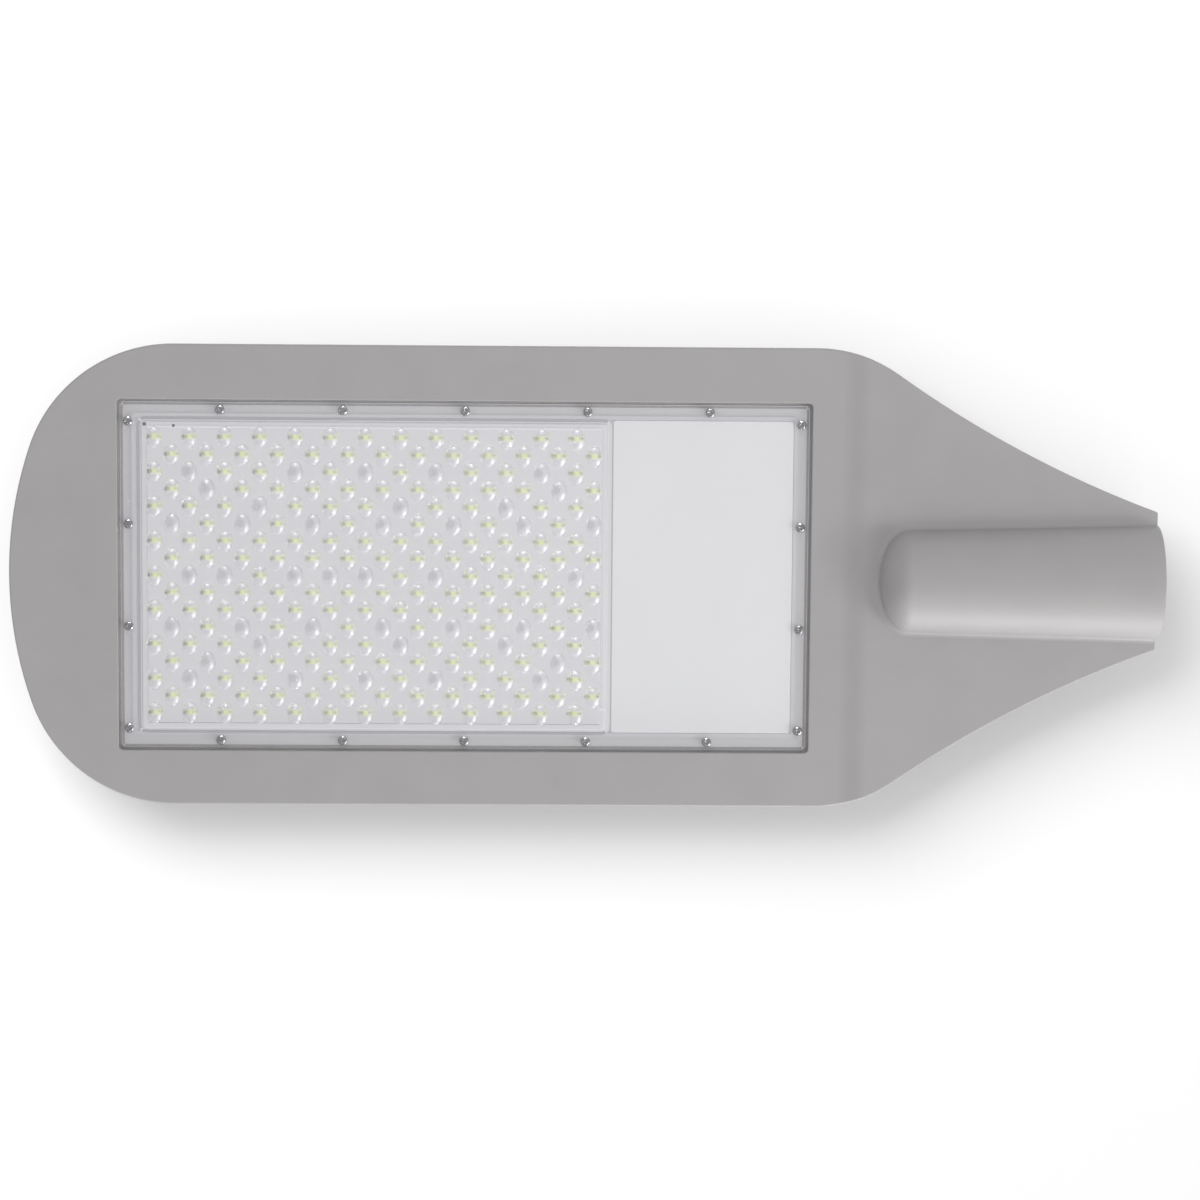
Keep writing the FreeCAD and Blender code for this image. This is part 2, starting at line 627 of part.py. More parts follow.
def driver_plate():
    """White plate that closes the driver bay, held between the housing's ledge and the lens cover."""
    return box(PLATE_LEFT, PLATE_RIGHT, -PLATE_WIDTH / 2, PLATE_WIDTH / 2, COVER_BACK_H, FLOOR_H)


def cover_gasket():
    """Seal between cover and housing, inside the line of screws."""
    inner_x = PLATE_RIGHT - CENTRE_X + GASKET_PLATE_GAP
    inner_y = PLATE_WIDTH / 2 + GASKET_PLATE_GAP

    def sheet(extra):
        return box(CENTRE_X - inner_x - extra, CENTRE_X + inner_x + extra, -inner_y - extra, inner_y + extra,
                   COVER_BACK_H, FLOOR_H)
    outer = sheet(GASKET_WIDTH)
    corners = [edge for edge in outer.Edges if edge.BoundBox.ZLength > OVERSHOOT]
    return outer.makeChamfer(GASKET_WIDTH / 2, corners).cut(sheet(0.0))


def cover_screws():
    """Pan-head screws of the lens cover."""
    screws = []
    for (x, y), shank in zip(screw_places(), screw_bars(SCREW_RADIUS, COVER_SINK, COVER_SINK + SCREW_LENGTH)):
        crown = Vector(x, y, z_of(COVER_SINK - SCREW_HEAD_HEIGHT))
        head = polygon_bar(SCREW_HEAD_SIDES, SCREW_HEAD_RADIUS, crown, Vector(x, y, z_of(COVER_SINK)))
        screws.append(head.fuse(shank))
    return Part.makeCompound(screws)


def driver_case():
    """Potted LED driver in an aluminium case with a fixing ear at each end."""
    h0 = BAY_CEILING - DRIVER_HEIGHT
    case = box(DRIVER_LEFT, DRIVER_RIGHT, -DRIVER_LENGTH / 2, DRIVER_LENGTH / 2, h0, BAY_CEILING)
    lower = [edge for edge in case.Edges
             if edge.BoundBox.ZMax < z_of(h0) + 1e-6 and edge.BoundBox.YLength > DRIVER_WIDTH]
    case = case.makeChamfer(DRIVER_CHAMFER, lower)
    reach = DRIVER_LENGTH / 2 + DRIVER_CAP + EAR_LENGTH
    middle = (DRIVER_LEFT + DRIVER_RIGHT) / 2
    strap = box(middle - EAR_WIDTH / 2, middle + EAR_WIDTH / 2, -reach, reach,
                BAY_CEILING - EAR_THICKNESS, BAY_CEILING)
    low, high = z_of(BAY_CEILING - EAR_THICKNESS - OVERSHOOT), z_of(BAY_CEILING + OVERSHOOT)
    holes = [small_rod(FIXING_RADIUS + HOLE_CLEARANCE, Vector(x, y, low), Vector(x, y, high))
             for x, y in ear_places()]
    return case.fuse(strap).cut(Part.makeCompound(holes)).removeSplitter()


def ear_places():
    middle = (DRIVER_LEFT + DRIVER_RIGHT) / 2
    y = DRIVER_LENGTH / 2 + DRIVER_CAP + EAR_LENGTH / 2
    return [(middle, y), (middle, -y)]


def earth_place():
    return GEAR_LEFT + GEAR_WIDTH / 2, 0.0


def fixing_places():
    """Plan positions of the tapped holes in the bay's ceiling."""
    return ear_places() + [earth_place()]


def driver_cap(side):
    """Plastic end cap of the driver, with room for the fixing ear above it."""
    y0, y1 = sorted((side * DRIVER_LENGTH / 2, side * (DRIVER_LENGTH / 2 + DRIVER_CAP)))
    return box(DRIVER_LEFT, DRIVER_RIGHT, y0, y1, BAY_CEILING - DRIVER_HEIGHT, BAY_CEILING - EAR_THICKNESS)


def ceiling_screw(x, y, seat):
    """Screw driven upwards into the bay's ceiling, with its head under the height called seat."""
    head = polygon_bar(SCREW_HEAD_SIDES, FIXING_HEAD_RADIUS, Vector(x, y, z_of(seat - FIXING_HEAD_HEIGHT)),
                       Vector(x, y, z_of(seat)))
    tip = Vector(x, y, z_of(BAY_CEILING + FIXING_ENGAGEMENT))
    shank = small_rod(FIXING_RADIUS, Vector(x, y, z_of(seat)), tip)
    return head.fuse(shank)


def driver_screws():
    return Part.makeCompound([ceiling_screw(x, y, BAY_CEILING - EAR_THICKNESS) for x, y in ear_places()])


def earth_screw():
    x, y = earth_place()
    return ceiling_screw(x, y, BAY_CEILING - EARTH_LUG_THICKNESS)


def earth_lug():
    """Ring lug of the earth connection."""
    x, y = earth_place()
    low, high = BAY_CEILING - EARTH_LUG_THICKNESS, BAY_CEILING
    ring = small_rod(EARTH_LUG_RADIUS, Vector(x, y, z_of(low)), Vector(x, y, z_of(high)))
    tail = box(x - FIXING_RADIUS, x + FIXING_RADIUS, y, y + 2 * EARTH_LUG_RADIUS, low, high)
    hole = small_rod(FIXING_RADIUS + HOLE_CLEARANCE, Vector(x, y, z_of(low - OVERSHOOT)),
               Vector(x, y, z_of(high + OVERSHOOT)))
    return ring.fuse(tail).cut(hole).removeSplitter()


def terminal_block():
    """Three-way mains terminal block, stepped where the wires go in."""
    y0, y1 = -GEAR_OFFSET - TERMINAL_LENGTH, -GEAR_OFFSET
    h0 = BAY_CEILING - TERMINAL_HEIGHT
    block = box(GEAR_LEFT, GEAR_LEFT + GEAR_WIDTH, y0, y1, h0 + TERMINAL_STEP, BAY_CEILING)
    ridge = box(GEAR_LEFT + TERMINAL_STEP, GEAR_LEFT + GEAR_WIDTH - TERMINAL_STEP, y0, y1, h0, BAY_CEILING)
    return block.fuse(ridge).removeSplitter()


def surge_protector():
    """Potted surge protection block."""
    block = box(GEAR_LEFT, GEAR_LEFT + GEAR_WIDTH, GEAR_OFFSET, GEAR_OFFSET + SURGE_LENGTH,
                BAY_CEILING - SURGE_HEIGHT, BAY_CEILING)
    upright = [edge for edge in block.Edges if edge.BoundBox.ZLength > SURGE_HEIGHT / 2]
    return block.makeChamfer(DRIVER_CHAMFER, upright)


def on_gland_axis(x):
    return Vector(x, 0, PASSAGE_Z)


def gland_body():
    """Cable gland body: thread through the bulkhead, hexagon flange, and the barrel that takes the nut."""
    wall = BAY_RIGHT + GLAND_WALL
    start = BAY_RIGHT - GLAND_INNER_LENGTH
    flange_end = wall + GLAND_FLANGE
    end = flange_end + GLAND_BARREL
    body = small_rod(GLAND_THREAD_RADIUS, on_gland_axis(start), on_gland_axis(end))
    body = body.fuse(hexagon_bar(GLAND_FLATS, on_gland_axis(wall), on_gland_axis(flange_end)))
    bore = small_rod(GLAND_BORE_RADIUS, on_gland_axis(start - OVERSHOOT), on_gland_axis(end + OVERSHOOT))
    return body.cut(bore)


def gland_nut_start():
    return BAY_RIGHT + GLAND_WALL + GLAND_FLANGE + GLAND_NUT_GAP


def gland_nut():
    """Nut that squeezes the seal round the supply cable."""
    start = gland_nut_start()
    end = start + GLAND_NUT_LENGTH
    nut = hexagon_bar(GLAND_FLATS, on_gland_axis(start), on_gland_axis(end))
    thread = small_rod(GLAND_THREAD_RADIUS + THREAD_CLEARANCE, on_gland_axis(start - OVERSHOOT),
                 on_gland_axis(end - GLAND_NUT_FRONT))
    mouth = small_rod(GLAND_BORE_RADIUS, on_gland_axis(start), on_gland_axis(end + OVERSHOOT))
    return nut.cut(thread.fuse(mouth))


def gland_seal():
    """Rubber ring between the gland body and the front of the nut."""
    start = BAY_RIGHT + GLAND_WALL + GLAND_FLANGE + GLAND_BARREL
    end = gland_nut_start() + GLAND_NUT_LENGTH - GLAND_NUT_FRONT
    ring = small_rod(GLAND_THREAD_RADIUS, on_gland_axis(start), on_gland_axis(end))
    return ring.cut(small_rod(GLAND_BORE_RADIUS - GLAND_SEAL, on_gland_axis(start - OVERSHOOT),
                        on_gland_axis(end + OVERSHOOT)))


def gland_locknut():
    nut = hexagon_bar(LOCKNUT_FLATS, on_gland_axis(BAY_RIGHT - LOCKNUT_THICKNESS), on_gland_axis(BAY_RIGHT))
    inside = on_gland_axis(BAY_RIGHT - 2 * LOCKNUT_THICKNESS)
    thread = small_rod(GLAND_THREAD_RADIUS + THREAD_CLEARANCE, inside, on_gland_axis(BAY_RIGHT + OVERSHOOT))
    return nut.cut(thread)


def clamp_bolts():
    """Hexagon bolts that press on the pole, screwed down to just short of it."""
    bolts = []
    for x in BOLT_POSITIONS:
        head = pad_top() + BOLT_NUT + BOLT_HEAD_GAP
        shank = small_rod(BOLT_RADIUS, Vector(-x, 0, SOCKET_BORE_RADIUS + BOLT_TIP_GAP), Vector(-x, 0, head))
        cap = hexagon_bar(BOLT_FLATS, Vector(-x, 0, head), Vector(-x, 0, head + BOLT_HEAD))
        bolts.append(shank.fuse(cap))
    return Part.makeCompound(bolts)


def clamp_locknuts():
    nuts = []
    for x in BOLT_POSITIONS:
        nut = hexagon_bar(BOLT_FLATS, Vector(-x, 0, pad_top()), Vector(-x, 0, pad_top() + BOLT_NUT))
        nuts.append(nut.cut(small_rod(BOLT_RADIUS + THREAD_CLEARANCE, Vector(-x, 0, pad_top() - OVERSHOOT),
                                Vector(-x, 0, pad_top() + BOLT_NUT + OVERSHOOT))))
    return Part.makeCompound(nuts)


def lead(points):
    """Lead of square section along straight runs with mitred corners."""
    turn = FreeCAD.Rotation(Vector(0, 0, 1), points[1].sub(points[0]))
    ring = [points[0].add(turn.multVec(Vector(a * LEAD_SIDE / 2, b * LEAD_SIDE / 2, 0)))
            for a, b in ((1, 1), (-1, 1), (-1, -1), (1, -1))]
    right_corners = 1
    section = Part.makePolygon(ring + ring[:1])
    return Part.makePolygon(points).makePipeShell([section], True, False, right_corners)


def lead_y():
    """Distance from the middle at which the leads pass the driver's ends."""
    return DRIVER_LENGTH / 2 + DRIVER_CAP + LEAD_REACH


def dc_lead():
    """Lead from the edge of the LED board through the notch in the ledge to the driver's output end."""
    y = lead_y()
    board_z = z_of((BOARD_H + BOARD_H + BOARD_THICKNESS) / 2)
    notch_z = z_of(FLOOR_H + CHANNEL_DEPTH / 2)
    cap_z = z_of(BAY_CEILING - DRIVER_HEIGHT / 2)
    gap_x = (BOARD_RIGHT + PLATE_LEFT) / 2
    end_x = DRIVER_LEFT + DRIVER_WALL_GAP
    return lead([Vector(BOARD_RIGHT, y, board_z), Vector(gap_x, y, board_z), Vector(gap_x, y, notch_z),
                 Vector(end_x, y, notch_z), Vector(end_x, y, cap_z), Vector(end_x, y - LEAD_REACH, cap_z)])


def mains_lead():
    """Lead from the terminal block to the driver's input end."""
    y = -lead_y()
    z = z_of(BAY_CEILING - TERMINAL_HEIGHT + TERMINAL_STEP / 2)
    start_x = GEAR_LEFT + GEAR_WIDTH / 2
    end_x = DRIVER_RIGHT - DRIVER_WALL_GAP
    block_end = -GEAR_OFFSET - TERMINAL_LENGTH
    return lead([Vector(start_x, block_end, z), Vector(start_x, y, z), Vector(end_x, y, z),
                 Vector(end_x, y + LEAD_REACH, z)])


def main():
    os.makedirs(OUT, exist_ok=True)
    nodes = {
        "housing": housing(),
        "lens_cover": lens_cover(),
        "cover_gasket": cover_gasket(),
        "cover_screws": cover_screws(),
        "led_board": board_sheet(BOARD_H, BOARD_H + BOARD_THICKNESS),
        "led_packages": led_packages(),
        "thermal_pad": board_sheet(FLOOR_H - THERMAL_PAD, FLOOR_H),
        "driver_plate": driver_plate(),
        "driver_case": driver_case(),
        "driver_input_cap": driver_cap(-1),
        "driver_output_cap": driver_cap(1),
        "driver_screws": driver_screws(),
        "terminal_block": terminal_block(),
        "surge_protector": surge_protector(),
        "earth_lug": earth_lug(),
        "earth_screw": earth_screw(),
        "gland_body": gland_body(),
        "gland_nut": gland_nut(),
        "gland_seal": gland_seal(),
        "gland_locknut": gland_locknut(),
        "clamp_bolts": clamp_bolts(),
        "clamp_locknuts": clamp_locknuts(),
        "dc_lead": dc_lead(),
        "mains_lead": mains_lead(),
    }
    for name, shape in nodes.items():
        state = "valid" if shape.isValid() else "BAD"
        print(name, len(shape.Solids), state, round(shape.Volume, 1))
        shape.exportStep(os.path.join(OUT, name + ".step"))


main()
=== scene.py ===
"""Looks of an LED street light head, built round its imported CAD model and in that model's own frame.

Lengths inside the functions are millimetres, as in the drawing; every mesh is written in metres.
+Z is up and the light shines down, so what the main camera sees is the underside.
"""
import math

import bmesh
import bpy
from mathutils import Matrix, Vector


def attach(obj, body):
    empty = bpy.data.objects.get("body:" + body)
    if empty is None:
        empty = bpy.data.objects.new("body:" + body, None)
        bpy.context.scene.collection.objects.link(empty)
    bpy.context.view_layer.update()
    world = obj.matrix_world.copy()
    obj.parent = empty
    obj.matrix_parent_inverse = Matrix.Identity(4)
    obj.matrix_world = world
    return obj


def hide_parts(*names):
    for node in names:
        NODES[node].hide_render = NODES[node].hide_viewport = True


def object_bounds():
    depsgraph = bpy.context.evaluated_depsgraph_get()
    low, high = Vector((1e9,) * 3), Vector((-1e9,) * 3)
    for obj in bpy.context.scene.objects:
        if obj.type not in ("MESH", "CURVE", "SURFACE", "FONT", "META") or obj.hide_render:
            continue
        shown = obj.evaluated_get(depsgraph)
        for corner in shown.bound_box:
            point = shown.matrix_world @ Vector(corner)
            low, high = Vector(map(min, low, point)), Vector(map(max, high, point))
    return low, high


bl_info = {
    "name": "Street light head",
    "version": (1, 0, 0),
    "blender": (4, 5, 0),
    "location": "3D View > Sidebar > Street Light",
    "description": "Builds the casting, lens cover, LEDs, fasteners and stage of an LED street light head",
    "category": "Object",
}

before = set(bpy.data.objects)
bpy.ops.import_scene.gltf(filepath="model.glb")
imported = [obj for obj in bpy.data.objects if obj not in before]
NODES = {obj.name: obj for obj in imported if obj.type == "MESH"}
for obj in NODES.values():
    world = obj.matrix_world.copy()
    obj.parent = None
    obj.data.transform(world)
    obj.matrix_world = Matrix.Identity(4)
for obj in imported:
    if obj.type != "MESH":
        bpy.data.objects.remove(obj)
CAD_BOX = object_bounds()
MM = 0.001
METRE = 1 / MM
TINY = 1e-6
QUARTER = math.pi / 2
TRUE_SIZE = (1.0, 1.0, 1.0)

# Plan outline of the casting, as in the drawing
TOE_X, NOSE_RADIUS, CORNER_RADIUS, HALF_WIDTH = -720.0, 250.0, 95.0, 145.0
SHOULDER_X, SHOULDER_RADIUS, SHOULDER_ANGLE = -215.0, 88.0, math.radians(35)
MOUTH_HALF, PLATE_END_X = 43.5, -0.6
NOSE_PARTS, CORNER_PARTS, SIDE_PARTS, FLANK_PARTS = 10, 30, 8, 24
# Heights of the casting, and the soft step from rim to neck
RIM_Z, NECK_Z, PLATE_TOP_Z = 4.0, 1.0, 14.0
STEP_FROM, STEP_TO, STEP_PARTS = -199.0, -181.0, 10
# Bevel along the upper edge as (inset, rise), with its corners softened
TOP_BEVEL = ((0.0, -5.0), (0.35, -4.1), (3.9, -0.45), (5.0, 0.0))
EDGE_PARTS = 4
# Notch in the neck plate for the socket: half widths at the mouth and at its inner end
NOTCH_END_X, NOTCH_LOW, NOTCH_TOP = -102.0, (33.0, 31.8), (31.5, 29.0)
# Pocket for the light and the driver bay behind it
RECESS, RECESS_CORNER = (-652.0, -218.0, -110.5, 110.5), 2.5
FLOOR_Z = 11.0
BAY, BAY_CORNER, BAY_TOP_Z = (-337.1, -235.1, -93.0, 93.0), 5.0, 50.0
# Pole socket
TUBE_END_X, TUBE_ROUND, TUBE_END_RADIUS, TUBE_MOUTH_RADIUS = -175.0, 18.4, 31.9, 35.6
TUBE_SIDES, TUBE_PARTS, TUBE_ROUND_PARTS, TUBE_ROUND_ANGLE = 72, 16, 13, math.radians(86)
BORE_RADIUS, BORE_DEPTH = 30.5, 100.0
FILLET_PARTS, FILLET_SUNK = 8, 2.0
# Forms on the back; each starts a little inside what carries it
FOOT_Z, SUNK = 13.0, 1.0
PLATEAU, PLATEAU_CORNER, PLATEAU_TOP_Z = (-659.0, -211.0, -117.5, 117.5), 9.0, 18.0
HUMP, HUMP_CORNER = (-345.1, -223.1, -101.0, 101.0), 15.0
FAIRING_SECTIONS = ((-234.1, 83.0, 50.0), (-118.0, 22.0, 31.0), (-103.0, 14.0, 28.0))
FAIRING_ROUND, FAIRING_PARTS = 9.0, 6
SPINE_RADIUS, SPINE_Z, SPINE_ENDS, SPINE_SIDES = 14.0, 21.0, (-214.0, -90.0), 40
BOLT_PAD, BOLT_PAD_CORNER, BOLT_PAD_FOOT_Z = (-90.0, -14.0, -12.0, 12.0), 6.0, 31.5
BOLT_X, PAD_TOP_Z = (-28.0, -76.0), 41.6
# Cooling fins: the middle one is the tallest; the edge is (distance from the fin's middle, drop)
FIN_COUNT, FIN_PITCH, FIN_THICKNESS = 11, 19.5, 3.0
FIN_TOP_Z, FIN_FALL, FIN_SETBACK, FIN_END_X = 49.0, 13.0, 24.0, -340.0
FIN_RAMP, FIN_RAMP_PARTS = 95.0, 14
FIN_EDGE = ((-1.5, 0.5), (-1.35, 0.15), (-1.0, 0.0), (1.0, 0.0), (1.35, 0.15), (1.5, 0.5))
# Lens cover and what lies behind it
COVER, COVER_CORNER = (-650.7, -219.3, -109.2, 109.2), 4.0
PANEL, PANEL_CORNER = (-637.7, -345.7, -97.5, 97.5), 3.0
BORDER_Z, COVER_BACK_Z, PANEL_Z, HOLLOW_Z = 6.0, 8.95, 3.5, 6.5
PANEL_WALL, WALL_FOOT, RIB_WIDTH, LIP_WIDTH, EDGE_WIDTH = 3.0, 0.5, 2.4, 2.2, 0.4
WINDOW_INSET = PANEL_WALL + 1.5
GATES = ((-634.9, -95.0, 1.2), (-616.8, -94.2, 1.0))
PLATE, PLATE_CORNER = (-342.3, -229.3, -98.8, 98.8), 1.5
# Lenses and LEDs
LENS_ROWS, LENS_COLUMNS, LENS_FIRST_X = 17, 13, -629.2
LENS_PITCH_X, LENS_PITCH_Y = 22.0, 10.87
LENS_SIDES, LENS_SUNK = 10, 0.02
LED_BACK_Z = 8.9
# Rows counted from the middle: the columns whose lens has no LED behind it
EMPTY_COLUMNS = {0: (1, 2, 4, 5, 6, 8, 12), 3: (0, 2, 4, 6, 8, 10, 12), 4: (3, 7, 10), 5: (1, 11),
                 6: (1, 4, 6, 8, 11)}
# Cover screws, counted from the middle of the cover
SCREW_MIDDLE_X, SCREW_PITCH_X, SCREW_PITCH_Y = -435.0, 76.5, 64.5
SCREW_ROW_Y, SCREW_COLUMN_X = 104.1, 210.4
RECESS_ARM, RECESS_HALF = 1.75, 0.42
# Clamp bolts
HEX_ACROSS_FLATS = 13.0
# The LED lead wears its sleeve on this side
SLEEVE_FROM_X = -345.0
# Camera: place, aim, roll round its axis and focal length, as worked out from the photograph
EYE, AIM = Vector((-0.400875, -0.267644, -2.349498)), Vector((-0.35006, 0.01379, 0.004))
ROLL, SENSOR_WIDTH, FOCAL_LENGTH = -0.00838, 36.0, 113.28
# Stage in metres
SHEET_REACH, SHEET_GAP = 4.0, 0.001
LAMP_AIM, BACKDROP_AIM = (-0.36, 0.0, 0.0), (-0.3, 0.1, 0.06)
WORLD_LIGHT = 0.72


def linear(hex_colour):
    """sRGB hex colour as linear RGBA."""
    channels = [int(hex_colour[k:k + 2], 16) / 255 for k in (1, 3, 5)]
    return tuple(c / 12.92 if c <= 0.04045 else ((c + 0.055) / 1.055) ** 2.4 for c in channels) + (1.0,)


def evenly(start, end, parts):
    """Numbers from start to end in equal steps."""
    return [start + (end - start) * k / parts for k in range(parts + 1)]


def size(label, about, millimetres):
    """A length in metres that the sidebar shows."""
    return bpy.props.FloatProperty(name=label, description=about, default=millimetres * MM, unit="LENGTH",
                                   precision=4)


def tint(label, about, hex_colour):
    """A colour that the sidebar shows."""
    return bpy.props.FloatVectorProperty(name=label, description=about, default=linear(hex_colour),
                                         subtype="COLOR", size=4, min=0.0, max=1.0)


class StreetLightSizes(bpy.types.PropertyGroup):
    edge_round: size("Rim edge round", "Round along the lower edge of the rim", 1.3)
    recess_round: size("Recess edge round", "Round along the edge of the light opening", 0.9)
    socket_fillet: size("Socket fillet", "Fillet where the socket tube grows out of the neck", 4.0)
    lens_length: size("Lens length", "Length of one oval lens, across the lamp", 14.6)
    lens_width: size("Lens width", "Width of one oval lens, along the lamp", 10.6)
    lens_height: size("Lens height", "Height of one lens above its panel", 4.6)
    chip_side: size("LED side", "Side of one square LED package", 3.0)
    chip_height: size("LED height", "Height of one LED package", 0.7)


class StreetLightColours(bpy.types.PropertyGroup):
    coat: tint("Powder coat", "Colour of the coated casting", "#A2A0A0")
    coat_shade: tint("Powder coat shade", "Darker cloud in the coat", "#9B9999")
    board: tint("Board", "White solder mask of the LED board", "#CBCACD")
    plate: tint("Plate", "White paint of the plate over the driver bay", "#CBCBCA")
    phosphor: tint("Phosphor", "Yellow phosphor of the LEDs", "#DEE0A2")
    cover: tint("Cover", "Faint tint of the clear cover", "#E9E9ED")


def add_node(tree, kind, sockets=None, **settings):
    """Adds a node, sets its properties, and gives its inputs values or links."""
    node = tree.nodes.new(kind)
    for name, value in settings.items():
        setattr(node, name, value)
    for key, value in (sockets or {}).items():
        if isinstance(value, bpy.types.NodeSocket):
            tree.links.new(value, node.inputs[key])
        else:
            node.inputs[key].default_value = value
    return node


def empty_material(name):
    """A material whose node tree is empty, and that tree."""
    material = bpy.data.materials.new(name)
    material.use_nodes = True
    material.node_tree.nodes.clear()
    return material, material.node_tree


def finish(name, colour, shade, patch, grain, rough, relief, stretch=(1, 1, 1), shader=None):
    """A surface with soft clouds of a second colour (patch) and a fine skin (grain), both in millimetres.

    Colours are hex or linear RGBA, rough is the range of roughness over the skin and relief its height
    in millimetres.
    """
    colour, shade = (linear(c) if isinstance(c, str) else c for c in (colour, shade))
    material, tree = empty_material(name)
    place = add_node(tree, "ShaderNodeTexCoord").outputs["Object"]
    place = add_node(tree, "ShaderNodeMapping", {"Vector": place, "Scale": stretch}).outputs["Vector"]
    cloud = add_node(tree, "ShaderNodeTexNoise", {"Vector": place, "Scale": 1 / (patch * MM), "Detail": 3.0})
    skin = add_node(tree, "ShaderNodeTexNoise", {"Vector": place, "Scale": 1 / (grain * MM), "Detail": 2.0})
    paint = add_node(tree, "ShaderNodeMix", {0: cloud.outputs[0], 6: colour, 7: shade}, data_type="RGBA")
    gloss = add_node(tree, "ShaderNodeMapRange", {
        "Value": skin.outputs[0], "To Min": rough[0], "To Max": rough[1]})
    bump = add_node(tree, "ShaderNodeBump", {
        "Height": skin.outputs[0], "Strength": 1.0, "Distance": relief * MM})
    sockets = {"Base Color": paint.outputs[2], "Roughness": gloss.outputs[0], "Normal": bump.outputs[0]}
    sockets.update(shader or {})
    surface = add_node(tree, "ShaderNodeBsdfPrincipled", sockets)
    add_node(tree, "ShaderNodeOutputMaterial", {"Surface": surface.outputs[0]})
    return material


def powder_coat(colours):
    # Powder coat on die-cast aluminium: satin grey with a fine sandy skin, which spreads every highlight.
    # The grit of a real coat is about 0.3 mm; it is drawn at 1.3 mm so that it shows in the render.
    return finish("powder_coated_cast_aluminium", colours.coat, colours.coat_shade, 30, 1.3, (0.5, 0.62), 0.035)


def clear_sheet(zone, colour, shade, veil):
    # Moulded clear polycarbonate, 3 mm: the eye sees through it, and it adds a pale veil and a sharp gloss.
    # The veil is thin in the light window and more over the flat border. In the walls it is thickest, as painted
    # light that stands in for the light they carry. The thick rib beside the window, the lip and the outer edge
    # get a dark
    # grey veil instead: painted shade beside the window and in the gap round the cover.
    return finish("clear_polycarbonate_" + zone, colour, shade, 60, 9, (0.05, 0.09), 0.002,
                  shader={"Alpha": veil, "IOR": 1.585})


def clear_lens():
    # The lenses of the same polycarbonate, polished in the mould: they bend the view of the LED behind.
    # Their soft outer skin widens each glint to a round white spot.
    return finish("clear_polycarbonate_lens", "#FBFCFD", "#F6F8FA", 12, 6, (0.02, 0.05), 0.001,
                  shader={"Transmission Weight": 1.0, "IOR": 1.585, "Alpha": 0.6, "Coat Weight": 1.0,
                          "Coat Roughness": 0.4})


def steel():
    # Zinc-plated steel: bright grey metal with fine marks from turning and handling.
    return finish("zinc_plated_steel", "#B9B9BB", "#9FA0A3", 3, 0.6, (0.2, 0.32), 0.01, shader={"Metallic": 1.0})


def ring_of(corner_box, radius, z, inset=0.0, steps=5):
    """Points of a rectangle with round corners, flat at z."""
    x0, x1, y0, y1 = corner_box
    x0, x1, y0, y1 = x0 + inset, x1 - inset, y0 + inset, y1 - inset
    radius = max(radius - inset, 0.05)
    points = []
    for k, (x, y) in enumerate(((x1 - radius, y1 - radius), (x0 + radius, y1 - radius),
                                (x0 + radius, y0 + radius), (x1 - radius, y0 + radius))):
        for step in range(steps + 1):
            angle = QUARTER * (k + step / steps)
            points.append((x + radius * math.cos(angle), y + radius * math.sin(angle), z))
    return points


def circle(radius, z, count, centre=(0.0, 0.0)):
    """Points of a regular polygon, flat at z."""
    return [(centre[0] + radius * math.cos(2 * math.pi * k / count),
             centre[1] + radius * math.sin(2 * math.pi * k / count), z) for k in range(count)]


def row(bm, points):
    """New vertices at points given in millimetres."""
    return [bm.verts.new(Vector(point) * MM) for point in points]


def bridge(bm, first, second, closed=True):
    """Quads between two rows of vertices."""
    count = len(first)
    for k in range(count if closed else count - 1):
        after = (k + 1) % count
        bm.faces.new((first[k], first[after], second[after], second[k]))


def stack(bm, rings):
    """Closed solid through a pile of rings, with flat ends."""
    rows = [row(bm, points) for points in rings]
    for first, second in zip(rows, rows[1:]):
        bridge(bm, first, second)
    bm.faces.new(rows[0])
    bm.faces.new(rows[-1])


def block(bm, corner_box, radius, levels, steps=5):
    """Solid with round corners through levels given as (z, inset)."""
    stack(bm, [ring_of(corner_box, radius, z, inset, steps) for z, inset in levels])


def turned(bm, levels, count, centre=(0.0, 0.0)):
    """Upright turned solid through levels given as (radius, z)."""
    stack(bm, [circle(radius, z, count, centre) for radius, z in levels])


def as_mesh(bm, name, smooth_angle=35.0):
    """Mesh from a bmesh, with normals outwards and smooth shading up to an angle in degrees."""
    bmesh.ops.recalc_face_normals(bm, faces=bm.faces)
    mesh = bpy.data.meshes.new(name)
    bm.to_mesh(mesh)
    bm.free()
    mesh.shade_smooth()
    mesh.set_sharp_from_angle(angle=math.radians(smooth_angle))
    return mesh


def joined(name, meshes):
    """One mesh from several, each with its own materials."""
    bm = bmesh.new()
    result = bpy.data.meshes.new(name)
    for mesh in meshes:
        for face in mesh.polygons:
            face.material_index += len(result.materials)
        bm.from_mesh(mesh)
        for material in mesh.materials:
            result.materials.append(material)
    bm.to_mesh(result)
    bm.free()
    return result


def evaluated_mesh(obj):
    """Plain mesh of an object with its modifiers applied."""
    scene_state = bpy.context.evaluated_depsgraph_get()
    return bpy.data.meshes.new_from_object(obj.evaluated_get(scene_state), depsgraph=scene_state)


def add_piece(name, mesh, nodes):
    """A finished piece that stands for CAD nodes and rides on the lamp."""
    piece = bpy.data.objects.new(name, mesh)
    bpy.context.scene.collection.objects.link(piece)
    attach(piece, "root")
    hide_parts(*nodes)
    return piece


def shade_evenly(piece):
    """Keeps large flat faces flat in the light beside their small rounds."""
    even = piece.modifiers.new("even_shading", "WEIGHTED_NORMAL")
    even.keep_sharp = True
    even.weight = 100


